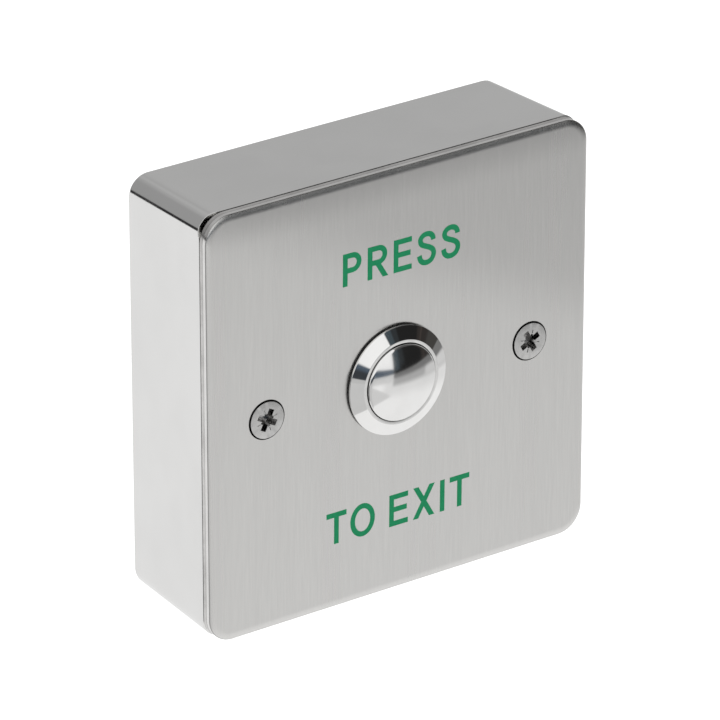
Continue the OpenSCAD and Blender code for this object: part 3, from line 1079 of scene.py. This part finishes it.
@dataclass
class FacePlate:
    """Punched square plate with a soft rolled edge, a button hole and two countersinks."""

    width: float = 86.4
    thick: float = 2.0
    corner_r: float = 5.2
    roll_w: float = 1.5
    roll_d: float = 0.3
    roll_steps: int = 12
    # height of the painted shade line on the plate's edge above its back, the line's width, and the
    # height of the first ring of the roll, which is painted as dark
    shade_line: float = 0.75
    shade_line_w: float = 0.16
    ring_h: float = 0.1
    hole_r: float = 9.65
    screw_x: float = 30.15
    screw_hole_r: float = 2.05
    countersink_r: float = 4.0

    def blank(self) -> bpy.types.Object:
        """The plate without its holes.

        Returns:
            The plate, with its corners and its rolled edge.
        """
        half = self.width / 2
        back = FACE - self.thick
        plate = block("satin_plate", (-half, -(FACE - self.roll_d), -half), (half, -back, half))
        with editing(plate, Part.EDGE):
            pick(plate, Part.EDGE, runs_in)
            bpy.ops.mesh.bevel(offset=self.corner_r * MM, segments=20, affect="EDGES")
            for height in (back + self.shade_line, back + self.shade_line + self.shade_line_w):
                bpy.ops.mesh.select_all(action="SELECT")
                bpy.ops.mesh.bisect(plane_co=mm(0, -height, 0), plane_no=(0, 1, 0))
        turns = [math.pi / 2 * (1 - i / self.roll_steps) for i in range(self.roll_steps + 1)]
        arc = [(self.roll_w * (1 - math.sin(a)), self.roll_d * math.cos(a)) for a in turns]
        with editing(plate, Part.FACE):
            pick(plate, Part.FACE, lambda f: f.normal.y < -0.9)
            for (w0, h0), (w1, h1) in zip(arc, arc[1:]):
                bpy.ops.mesh.inset(thickness=(w1 - w0) * MM, depth=(h1 - h0) * MM)
        return plate

    def drill(self, plate: bpy.types.Object) -> None:
        """Cuts the button hole and the two countersunk screw holes.

        Args:
            plate: the plate to cut.
        """
        through = (FACE - self.thick - 1, FACE + 1)
        cut(plate, rod("drill", BUTTON_X, BUTTON_Z, (self.hole_r,) * 2, through, 128))
        deep = self.countersink_r
        for side in (-1, 1):
            x = side * self.screw_x
            cut(plate, rod("drill", x, 0, (self.screw_hole_r,) * 2, through, 48))
            sunk = (FACE - deep + 0.01, FACE + 1)
            cut(plate, rod("countersink", x, 0, (0.01, deep + 1), sunk, 96))

    def skin(self, face: bpy.types.MeshPolygon) -> PlateSkin:
        """Which material a face of the plate has, by its place.

        Args:
            face: a face of the plate's mesh.

        Returns:
            The material slot of that face.
        """
        height = -face.center.y / MM
        x, z = abs(face.center.x) / MM, abs(face.center.z) / MM
        shade_line, roll = FACE - self.thick + self.shade_line, FACE - self.roll_d
        if max(x, z) < self.width / 2 - self.corner_r:
            # painted shade: faces in the countersinks and screw holes get the near-black gap-shade
            # steel
            off = math.hypot(x - self.screw_x, z)
            in_hole = off < self.countersink_r and height < FACE - 0.01
            return PlateSkin.HOLE if in_hole else PlateSkin.FACE
        # painted shade: a thin line across the edge and the roll's first ring get the darker
        # groove-shade steel
        if abs(face.normal.y) < 0.3 and height < roll:
            if height < shade_line:
                return PlateSkin.SHEARED
            return PlateSkin.TORN if height < shade_line + self.shade_line_w else PlateSkin.BURNISHED
        return PlateSkin.TORN if roll < height < roll + self.ring_h else PlateSkin.FACE

    def build(self, finishes: FinishBook) -> None:
        """Makes and dresses the plate.

        Args:
            finishes: the materials of the whole object.
        """
        plate = self.blank()
        self.drill(plate)
        soften(plate, 0.05, 2, 38)
        book = finishes
        # the last two finishes paint shade: the groove line on the edge, and the gap in the holes
        for finish in (book.plate, book.sheared, book.burnished, book.groove_shade, book.gap_shade):
            plate.data.materials.append(finish)
        for face in plate.data.polygons:
            face.material_index = self.skin(face).value
        smooth(plate, 28)
        dress(plate, finishes.plate, replaces=["face_plate"])


@dataclass
class PlateScrew:
    """Countersunk screw with a cross recess and four tick marks between its wings."""

    side: int
    turn: float
    node: str
    x: float = 30.15
    head_r: float = 3.7
    rise: float = 0.25
    land: float = 0.51
    shank_r: float = 1.75
    length: float = 18.0
    recess_l: float = 4.8
    recess_w: float = 1.3
    recess_d: float = 2.1
    star_l: float = 3.4
    star_w: float = 0.55
    star_d: float = 1.4
    tick: Flat = (1.6, 2.3)
    tick_w: float = 0.2
    tick_d: float = 0.15

    def body(self) -> bpy.types.Object:
        """The turned screw with its thread.

        Returns:
            The screw, with its head uncut.
        """
        neck = self.land + self.head_r - self.shank_r
        head = [(0, 0, 0), (self.head_r, 0, 0.06), (self.head_r, -self.land, 0.05)]
        corners = eased([*head, (self.shank_r, -neck, 0.1)])
        ridges = thread(self.shank_r, 0.24, -neck - 0.8, 1.0 - self.length, 0.6)
        tip = -self.length
        end = [(self.shank_r, tip + 0.6), (self.shank_r - 0.5, tip), (0, tip)]
        profile = [(radius, height + self.rise) for radius, height in corners + ridges + end]
        return turned(f"plate_screw_{self.node}", self.side * self.x, 0, profile, 72)

    def wing(
        self, length: float, width: float, depth: float, turn: float, foot: float
    ) -> bpy.types.Object:
        """One tapered bar that cuts two wings of the recess.

        Args:
            length: the bar's length in millimetres.
            width: its width.
            depth: how far it goes below the screw's face.
            turn: its turn in degrees.
            foot: the length of its foot as a share of its top's.

        Returns:
            The cutter.
        """
        x = self.side * self.x
        top = FACE + self.rise
        low = (x - length / 2, -(top + 0.5), -width / 2)
        bar = block("wing", low, (x + length / 2, depth - top, width / 2))
        with editing(bar, Part.FACE):
            pick(bar, Part.FACE, lambda f: f.normal.y > 0.9)
            bpy.ops.transform.resize(value=(foot, 1, 0.7), center_override=mm(x, 0, 0))
        turn_about_y(bar, turn, x, 0)
        return bar

    def recess(self, screw: bpy.types.Object) -> None:
        """Cuts the recess, the small star between its wings and the tick marks.

        Args:
            screw: the screw to cut.
        """
        for quarter in (0, 90):
            size = (self.recess_l, self.recess_w, self.recess_d)
            cut(screw, self.wing(*size, self.turn + quarter, 0.66))
        for quarter in (45, 135):
            size = (self.star_l, self.star_w, self.star_d)
            cut(screw, self.wing(*size, self.turn + quarter, 0.4))
        x = self.side * self.x
        top = FACE + self.rise
        near, far = self.tick
        half = self.tick_w / 2
        for quarter in (45, 135, 225, 315):
            low = (x + near, -(top + 0.5), -half)
            tick = block("tick", low, (x + far, self.tick_d - top, half))
            turn_about_y(tick, self.turn + quarter, x, 0)
            cut(screw, tick)

    def build(self, finishes: FinishBook) -> None:
        """Makes and dresses the screw.

        Args:
            finishes: the materials of the whole object.
        """
        screw = self.body()
        self.recess(screw)
        tone = (0.68, 0.675, 0.665)
        steel = TurnedSteel(f"screw_steel_{self.node}", self.side * self.x, 0, tone).made()
        for finish in (steel, finishes.recess, finishes.gap_shade):
            screw.data.materials.append(finish)
        # painted shade: the head's side below its face gets the near-black gap-shade steel
        middle = Vector((self.side * self.x * MM, 0))
        # partly painted shade: faces inside the cross recess get the darker recess steel
        for face in screw.data.polygons:
            off = (Vector((face.center.x, face.center.z)) - middle).length
            sunk = -face.center.y < (FACE + self.rise - 0.02) * MM
            shallow = -face.center.y > (FACE - 2.2) * MM
            inner = off < self.recess_l * 0.55 * MM and shallow
            beside = off > (self.head_r - 0.02) * MM
            face.material_index = 1 if sunk and inner else 2 if sunk and beside else 0
        smooth(screw, 30)
        dress(screw, steel, replaces=[f"plate_screw_{self.node}"])


def arc(
    x: float, z: float, rx: float, rz: float, start: float, end: float, steps: int = 20
) -> Stroke:
    """Points of an arc of an ellipse, by its start and end angle in degrees."""
    angles = (math.radians(start + (end - start) * i / steps) for i in range(steps + 1))
    return [(x + rx * math.cos(a), z + rz * math.sin(a)) for a in angles]


def flowing(points: Stroke, steps: int = 6) -> Stroke:
    """A smooth line through points.

    Args:
        points: the points that the line goes through.
        steps: how many parts each stretch between two points gets.

    Returns:
        The points of the smooth line.
    """
    line: Stroke = []
    for i in range(len(points) - 1):
        a, b, c, d = (Vector(points[max(0, min(len(points) - 1, i + k))]) for k in (-1, 0, 1, 2))
        for k in range(steps):
            t = k / steps
            square, cube = 2 * a - 5 * b + 4 * c - d, 3 * b - a - 3 * c + d
            point = 0.5 * (2 * b + (c - a) * t + square * t**2 + cube * t**3)
            line.append((point.x, point.y))
    return line + [points[-1]]


@dataclass
class Lettering:
    """Plain capitals of one stroke width, painted above and below the button."""

    height: float = 6.58
    stroke: float = 1.06
    thick: float = 0.02
    tilt: float = -0.5

    def strokes(self, letter: str, wide: float) -> list[Stroke]:
        """The strokes' middle lines of a letter, from its lower left corner.

        Args:
            letter: the capital.
            wide: its width in millimetres.

        Returns:
            The middle lines.
        """
        half, top = self.stroke / 2, self.height - self.stroke / 2
        stem = [(half, 0.0), (half, self.height)]
        if letter == "P" or letter == "R":
            low = 3.09 if letter == "P" else 3.2
            bowl_w = wide if letter == "P" else wide - 0.25
            r = (top - low) / 2
            bend = arc(bowl_w - half - r, (top + low) / 2, r, r, 90, -90)
            lines = [stem, [(half, top), *bend, (half, low)]]
            if letter == "R":
                lines.append([(2.05, 3.2), (2.4, 2.75), (wide - 0.6, 0.0), (wide + 0.2, -1.3)])
            return lines
        if letter == "E":
            bars = [(top, wide), (3.42, wide - 0.28), (half, wide)]
            return [stem, *([(half, z), (end, z)] for z, end in bars)]
        if letter == "S":
            s_line = [
                *((3.72, 4.72), (3.62, 5.3), (3.12, 5.93), (2.25, 6.17), (1.4, 5.98)),
                *((0.86, 5.45), (0.8, 4.8), (1.15, 4.2), (1.95, 3.76), (2.75, 3.4)),
                *((3.45, 2.92), (3.82, 2.3), (3.8, 1.6), (3.4, 0.86), (2.75, 0.48)),
                *((2.1, 0.4), (1.4, 0.58), (0.83, 1.15), (0.57, 2.05)),
            ]
            return [[(x * wide / 4.38, z) for x, z in flowing(s_line)]]
        if letter == "O":
            tall = top - self.height / 2 + 0.14
            return [arc(wide / 2, self.height / 2, wide / 2 - half, tall, 0, 360, 64)]
        if letter == "T":
            return [[(0.0, top), (wide, top)], [(wide / 2, 0.0), (wide / 2, top)]]
        if letter == "X":
            low, high = -0.8, self.height + 0.8
            lean = (wide - 1.25) / self.height * 0.8
            left, right = 0.62 - lean, wide - 0.62 + lean
            return [[(left, low), (right, high)], [(left, high), (right, low)]]
        return [stem]

    def ribbon(self, name: str, line: Stroke, x: float, z: float) -> bpy.types.Object:
        """One stroke as a flat ribbon of even width.

        Args:
            name: the ribbon's name.
            line: the stroke, measured from the letter's lower left corner in millimetres.
            x: where that corner is sideways, in millimetres.
            z: how high that corner is, in millimetres.

        Returns:
            The ribbon, on the plate.
        """
        front = FACE + self.thick
        points = [mm(x + px, -front, z + pz) for px, pz in line]
        piece = wire(name, points)
        with editing(piece, Part.VERTEX):
            bpy.ops.mesh.select_all(action="SELECT")
            bpy.ops.mesh.remove_doubles(threshold=1e-7)
            bpy.ops.mesh.select_all(action="SELECT")
            bpy.ops.mesh.extrude_edges_move(TRANSFORM_OT_translate={"value": mm(0, self.thick, 0)})
        width = self.stroke * MM
        apply_modifier(piece, "SOLIDIFY", thickness=width, offset=0, use_even_offset=True, use_rim=True)
        return piece

    def letter(self, name: str, letter: str, x: float, z: float, wide: float) -> bpy.types.Object:
        """A whole letter, trimmed at its foot and head.

        Args:
            name: the piece's name.
            letter: the capital to draw.
            x: where its lower left corner is sideways, in millimetres.
            z: how high its foot is, in millimetres.
            wide: how wide it is, in millimetres.

        Returns:
            The letter as one piece.
        """
        lines = enumerate(self.strokes(letter, wide))
        piece, *others = [self.ribbon(f"{name}_{i}", line, x, z) for i, line in lines]
        for other in others:
            apply_modifier(piece, "BOOLEAN", operation="UNION", solver="EXACT", object=other)
            bpy.data.objects.remove(other)
        piece.name = name
        if letter in "XR":
            with editing(piece, Part.FACE):
                for at, up in ((z, -1), (z + self.height, 1)):
                    bpy.ops.mesh.select_all(action="SELECT")
                    bpy.ops.mesh.bisect(
                        plane_co=mm(0, 0, at), plane_no=(0, 0, up), clear_outer=True, use_fill=True
                    )
        return piece

    def build(self, finishes: FinishBook) -> None:
        """Makes and dresses the two lines of lettering.

        Args:
            finishes: the materials of the whole object.
        """
        upper = "P", -12.94, 4.17, "R", -7.35, 4.65, "E", -1.45, 4.1, "S", 3.83, 4.38, "S", 9.35, 4.42
        lower = (
            *("T", -16.79, 4.58, "O", -11.31, 5.63),
            *("E", -2.34, 4.33, "X", 3.17, 5.0, "I", 9.44, 1.06, "T", 11.7, 4.58),
        )
        lines = {"upper": (22.14, upper), "lower": (-30.16, lower)}
        for place, (foot, row) in lines.items():
            letters = enumerate(zip(row[::3], row[1::3], row[2::3]))
            pieces = [self.letter(f"{place}_{i}", name, x, foot, w) for i, (name, x, w) in letters]
            line = joined(f"lettering_{place}", pieces)
            turn_about_y(line, self.tilt, 0, foot + self.height / 2)
            smooth(line, 30)
            dress(line, finishes.paint)


# Back box


@dataclass
class BackBox:
    """Drawn metal box with drafted sides, open to the plate."""

    half: float = 43.1
    depth: float = 25.3
    wall: float = 1.2
    draft: float = 0.75
    corner_r: float = 4.3
    back_r: float = 0.9
    cable_r: float = 10.0
    slot_x: float = 25.4
    slot_w: float = 4.6
    slot_l: float = 9.0
    rivet: float = 33.35
    rivet_r: float = 2.0
    rim_r: float = 0.06
    rim_gap: float = 0.2
    corner_dip: float = 0.9

    def outwards(self, point: Vector) -> Flat:
        """How far past the corner arcs' middles a point is, sideways and upright, in millimetres."""
        middle = self.half - self.corner_r
        return max(abs(point.x) / MM - middle, 0), max(abs(point.z) / MM - middle, 0)

    def form_rim(self, box: bpy.types.Object) -> None:
        """Dips the drawn rim at its corners, opens the slit on top and rounds the outer edge.

        Args:
            box: the box whose rim is shaped.
        """
        edge = -(self.depth - 0.01) * MM
        high = (self.half - self.corner_r + 0.5) * MM
        with editing(box, Part.VERTEX):
            pick(box, Part.VERTEX, lambda v: v.co.y < edge and min(self.outwards(v.co)) > 1.9)
            bpy.ops.transform.translate(
                value=mm(0, self.corner_dip, 0),
                use_proportional_edit=True,
                proportional_edit_falloff="SMOOTH",
                proportional_size=3.6 * MM,
            )
            near = edge + self.corner_dip * MM
            pick(box, Part.VERTEX, lambda v: v.co.y < near and v.co.z > high)
            bpy.ops.transform.translate(value=mm(0, self.rim_gap, 0))
        edge = -(self.depth - self.corner_dip - self.rim_gap - 0.01) * MM
        with editing(box, Part.EDGE):
            rim = self.corner_r - 0.3
            outer = lambda v: v.co.y < edge and math.hypot(*self.outwards(v.co)) > rim
            pick(box, Part.EDGE, lambda e: all(outer(v) for v in e.verts))
            bpy.ops.mesh.bevel(offset=self.rim_r * MM, segments=4, affect="EDGES")

    def shell(self) -> bpy.types.Object:
        """The box's five walls.

        Returns:
            The box without its holes.
        """
        box = block("steel_box", (-self.half, -self.depth, -self.half), (self.half, 0, self.half))
        small = (self.half - self.draft) / self.half
        with editing(box, Part.FACE):
            pick(box, Part.FACE, lambda f: f.normal.y > 0.9)
            bpy.ops.transform.resize(value=(small, 1, small), center_override=(0, 0, 0))
        with editing(box, Part.EDGE):
            pick(box, Part.EDGE, runs_in)
            bpy.ops.mesh.bevel(offset=self.corner_r * MM, segments=20, affect="EDGES")
        with editing(box, Part.FACE):
            pick(box, Part.FACE, lambda f: f.normal.y > 0.9)
            bpy.ops.mesh.bevel(offset=self.back_r * MM, segments=6, affect="EDGES")
            pick(box, Part.FACE, lambda f: f.normal.y < -0.9)
            bpy.ops.mesh.delete(type="FACE")
        apply_modifier(box, "SOLIDIFY", thickness=self.wall * MM, offset=-1, use_even_offset=True)
        self.form_rim(box)
        return box

    def pierce(self, box: bpy.types.Object) -> None:
        """Cuts the cable hole, the two wall screw slots and the rivet's hole.

        Args:
            box: the box to cut.
        """
        through = (-1, self.wall + 1)
        cut(box, rod("punch", 0, 0, (self.cable_r,) * 2, through, 96))
        cut(box, rod("punch", self.rivet, -self.rivet, (self.rivet_r,) * 2, through, 32))
        reach = (self.slot_l - self.slot_w) / 2
        for side in (-1, 1):
            x = side * self.slot_x
            wide = self.slot_w / 2
            cut(box, block("punch", (x - reach, -through[1], -wide), (x + reach, 1, wide)))
            for end in (-1, 1):
                cut(box, rod("punch", x + end * reach, 0, (wide, wide), through, 48))

    def build(self, finishes: FinishBook) -> None:
        """Makes and dresses the box.

        Args:
            finishes: the materials of the whole object.
        """
        box = self.shell()
        self.pierce(box)
        soften(box, 0.12, 3, 50)
        smooth(box, 32)
        dress(box, finishes.box, replaces=["back_box"])


# Push button


@dataclass
class PushButton:
    """Bezel with its threaded barrel, the domed cap that slides in it, and their seals."""

    bezel_r: float = 11.0
    bezel_side: float = 0.8
    bezel_h: float = 1.9
    lip_r: float = 8.49
    bore_r: float = 7.86
    bore_depth: float = 2.9
    chamber_r: float = 8.6
    barrel_r: float = 9.5
    barrel_l: float = 14.45
    seat: float = 12.45
    crimp: float = 13.85
    seat_r: float = 8.9
    crimp_r: float = 8.2
    seal_r: float = 10.6
    seal_t: float = 0.45
    cap_r: float = 7.7
    cap_rim: float = 2.35
    dome_h: float = 1.3
    cap_edge: float = 0.2
    flange_r: float = 8.4
    flange: tuple[float, float] = (2.95, 3.95)
    groove_r: float = 7.02
    hollow_r: float = 6.2
    hollow_top: float = 1.05
    o_ring_t: float = 0.85
    o_ring_h: float = 0.1

    def housing(self, finishes: FinishBook) -> None:
        """Makes and dresses bezel and barrel as one turned piece.

        Args:
            finishes: the materials of the whole object.
        """
        outside = eased(
            [
                (self.bore_r, 0.0, 0),
                (self.bore_r, self.bezel_h, 0.05),
                (self.lip_r, self.bezel_h, 0.04),
                (self.bezel_r, self.bezel_side, 0.06),
                (self.bezel_r, self.seal_t, 0.04),
                (self.barrel_r, self.seal_t, 0),
            ]
        )
        ridges = thread(self.barrel_r, 0.3, -1.2, 0.8 - self.barrel_l, 0.75)
        inside = [
            (self.barrel_r, -self.barrel_l + 0.3),
            (self.barrel_r - 0.3, -self.barrel_l),
            (self.crimp_r, -self.barrel_l),
            (self.crimp_r, -self.crimp),
            (self.seat_r, -self.crimp),
            (self.seat_r, -self.seat),
            (self.chamber_r, -self.seat),
            (self.chamber_r, -self.bore_depth),
            (self.bore_r, -self.bore_depth),
            (self.bore_r, 0.0),
        ]
        piece = turned("button_bezel", BUTTON_X, BUTTON_Z, outside + ridges + inside, 160)
        piece.data.materials.append(finishes.bezel)
        piece.data.materials.append(finishes.lip)
        for face in piece.data.polygons:
            face.material_index = int(face.normal.y < -0.99)
        smooth(piece, 25)
        dress(piece, finishes.bezel, replaces=["button_housing"])

    def cap(self, finishes: FinishBook) -> None:
        """Makes and dresses the cap, with its dome, seal groove, flange and hollow back.

        Args:
            finishes: the materials of the whole object.
        """
        base = self.cap_r - self.cap_edge
        sphere = (base**2 + self.dome_h**2) / (2 * self.dome_h)
        widest = math.asin(base / sphere)
        crown = self.cap_rim + self.dome_h
        angles = [widest * i / 24 for i in range(25)]
        dome = [(sphere * math.sin(a), crown - sphere + sphere * math.cos(a)) for a in angles]
        half = self.o_ring_t / 2 + 0.1
        rim = eased(
            [
                (base, self.cap_rim, 0),
                (self.cap_r, self.cap_rim - self.cap_edge, 0.1),
                (self.cap_r, self.o_ring_h + half, 0.04),
                (self.groove_r, self.o_ring_h + half, 0),
                (self.groove_r, self.o_ring_h - half, 0),
                (self.cap_r, self.o_ring_h - half, 0.04),
                (self.cap_r, -self.flange[0], 0),
                (self.flange_r, -self.flange[0], 0.08),
                (self.flange_r, -self.flange[1], 0.12),
                (self.hollow_r, -self.flange[1], 0.12),
                (self.hollow_r, self.hollow_top, 0.15),
                (0, self.hollow_top, 0),
            ]
        )
        piece = turned("button_dome", BUTTON_X, BUTTON_Z, dome[:-1] + rim, 160)
        smooth(piece, 30)
        dress(piece, finishes.cap, body="button", replaces=["button_cap"])

    def seals(self, finishes: FinishBook) -> None:
        """Makes and dresses the ring in the cap's groove and the flat ring under the bezel.

        Args:
            finishes: the materials of the whole object.
        """
        r = self.o_ring_t / 2
        ring = arc(self.groove_r + r, self.o_ring_h, r, r, 0, 360, 20)
        piece = turned("cap_ring", BUTTON_X, BUTTON_Z, ring, 96)
        smooth(piece, 60)
        dress(piece, finishes.rubber, body="button", replaces=["cap_seal"])
        inner, outer, high, soft = self.barrel_r + 0.05, self.seal_r, self.seal_t, 0.08
        flat = eased([(inner, 0, soft), (inner, high, soft), (outer, high, soft), (outer, 0, soft)])
        piece = turned("bezel_gasket", BUTTON_X, BUTTON_Z, [*flat, flat[0]], 96)
        smooth(piece, 40)
        dress(piece, finishes.rubber, replaces=["panel_seal"])

    def build(self, finishes: FinishBook) -> None:
        """Makes and dresses the button's turned pieces.

        Args:
            finishes: the materials of the whole object.
        """
        self.housing(finishes)
        self.cap(finishes)
        self.seals(finishes)


@dataclass
class ReturnSpring:
    """Coil spring behind the button; the real one is pressed together as the button goes in, while this
    one stays as wound.
    """

    coil_r: float = 3.0
    wire_r: float = 0.225
    front: float = 20.075
    back: float = 16.375
    turns: int = 3
    travel: float = 1.6

    def build(self, finishes: FinishBook) -> None:
        """Winds and dresses the coil.

        Args:
            finishes: the materials of the whole object.
        """
        bpy.ops.object.select_all(action="DESELECT")
        start = mm(self.coil_r, 0, 0)
        bpy.ops.mesh.primitive_circle_add(
            vertices=12, radius=self.wire_r * MM, location=start, fill_type="NOTHING"
        )
        coil = added("coil_spring")
        apply_modifier(
            coil,
            "SCREW",
            axis="Y",
            angle=FULL_TURN * self.turns,
            screw_offset=-(self.front - self.back) * MM,
            steps=32 * self.turns,
            render_steps=32 * self.turns,
            use_normal_calculate=True,
        )
        coil.location = mm(BUTTON_X, -self.back, BUTTON_Z)
        settle(coil)
        with editing(coil, Part.EDGE):
            bpy.ops.mesh.select_non_manifold()
            bpy.ops.mesh.fill_holes(sides=0)
        close_up(coil)
        smooth(coil, 50)
        dress(coil, finishes.wire, replaces=["return_spring"])
        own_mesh(coil)


# The parts inside


@dataclass(frozen=True)
class InnerPart:
    """A part inside the box: its CAD solid with its edges broken."""

    node: str
    finish: str
    slot: Slot
    edge: float = 0.12
    body: str = "root"


@dataclass
class InnerWorks:
    """Lugs, grommet, earth terminal, nut and washer, and the switch behind the button."""

    parts: tuple[InnerPart, ...] = (
        InnerPart("fixing_lug_left", "zinc", Slot.PLATED, 0.15),
        InnerPart("fixing_lug_right", "zinc", Slot.PLATED, 0.15),
        InnerPart("cable_grommet", "rubber", Slot.RUBBER, 0.35),
        InnerPart("earth_pillar", "brass", Slot.BRASS, 0.15),
        InnerPart("earth_screw", "brass", Slot.BRASS, 0.1),
        InnerPart("lock_washer", "zinc", Slot.PLATED, 0.06),
        InnerPart("lock_nut", "zinc", Slot.PLATED, 0.12),
        InnerPart("plunger", "ivory", Slot.IVORY, 0.06, "button"),
        InnerPart("moving_contact", "brass", Slot.BRASS, 0.08, "button"),
        InnerPart("retaining_clip", "wire", Slot.SPRING, 0.05, "button"),
        InnerPart("switch_base", "black", Slot.BLACK, 0.12),
        InnerPart("fixed_contact_left", "brass", Slot.BRASS, 0.08),
        InnerPart("fixed_contact_right", "brass", Slot.BRASS, 0.08),
        InnerPart("clamp_washer_left", "zinc", Slot.PLATED, 0.08),
        InnerPart("clamp_washer_right", "zinc", Slot.PLATED, 0.08),
        InnerPart("terminal_screw_left", "zinc", Slot.PLATED, 0.08),
        InnerPart("terminal_screw_right", "zinc", Slot.PLATED, 0.08),
    )

    def refined(self, part: InnerPart) -> bpy.types.Object:
        """Copies a CAD solid, merges its triangles into faces and breaks its edges.

        Args:
            part: the inner part, with its node and the width of its broken edges.

        Returns:
            The worked copy.
        """
        node = frame["nodes"][part.node]
        piece = node.copy()
        piece.data = node.data.copy()
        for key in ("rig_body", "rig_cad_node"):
            if key in piece:
                del piece[key]
        piece.parent = None
        piece.name = f"{part.node}_worked"
        piece.data.materials.clear()
        bpy.context.scene.collection.objects.link(piece)
        with editing(piece, Part.VERTEX):
            bpy.ops.mesh.select_all(action="SELECT")
            bpy.ops.mesh.remove_doubles(threshold=1e-7)
            bpy.ops.mesh.customdata_custom_splitnormals_clear()
            bpy.ops.mesh.dissolve_limited(angle_limit=math.radians(0.5))
        soften(piece, part.edge, 2, 35)
        smooth(piece, 35)
        return piece

    def build(self, finishes: FinishBook) -> None:
        """Refines and dresses all the inner parts.

        Args:
            finishes: the materials of the whole object.
        """
        for part in self.parts:
            piece = self.refined(part)
            dress(piece, getattr(finishes, part.finish), part.body, [part.node])


def main() -> None:
    """Builds the studio and every sub-assembly."""
    logging.basicConfig(level=logging.INFO, format="%(name)s: %(message)s")
    Studio().build()
    finishes = FinishBook()
    FacePlate().build(finishes)
    Lettering().build(finishes)
    for side, turn, node in ((-1, 63.0, "left"), (1, 28.0, "right")):
        PlateScrew(side, turn, node).build(finishes)
    BackBox().build(finishes)
    PushButton().build(finishes)
    ReturnSpring().build(finishes)
    InnerWorks().build(finishes)


if __name__ == "__main__":
    main()
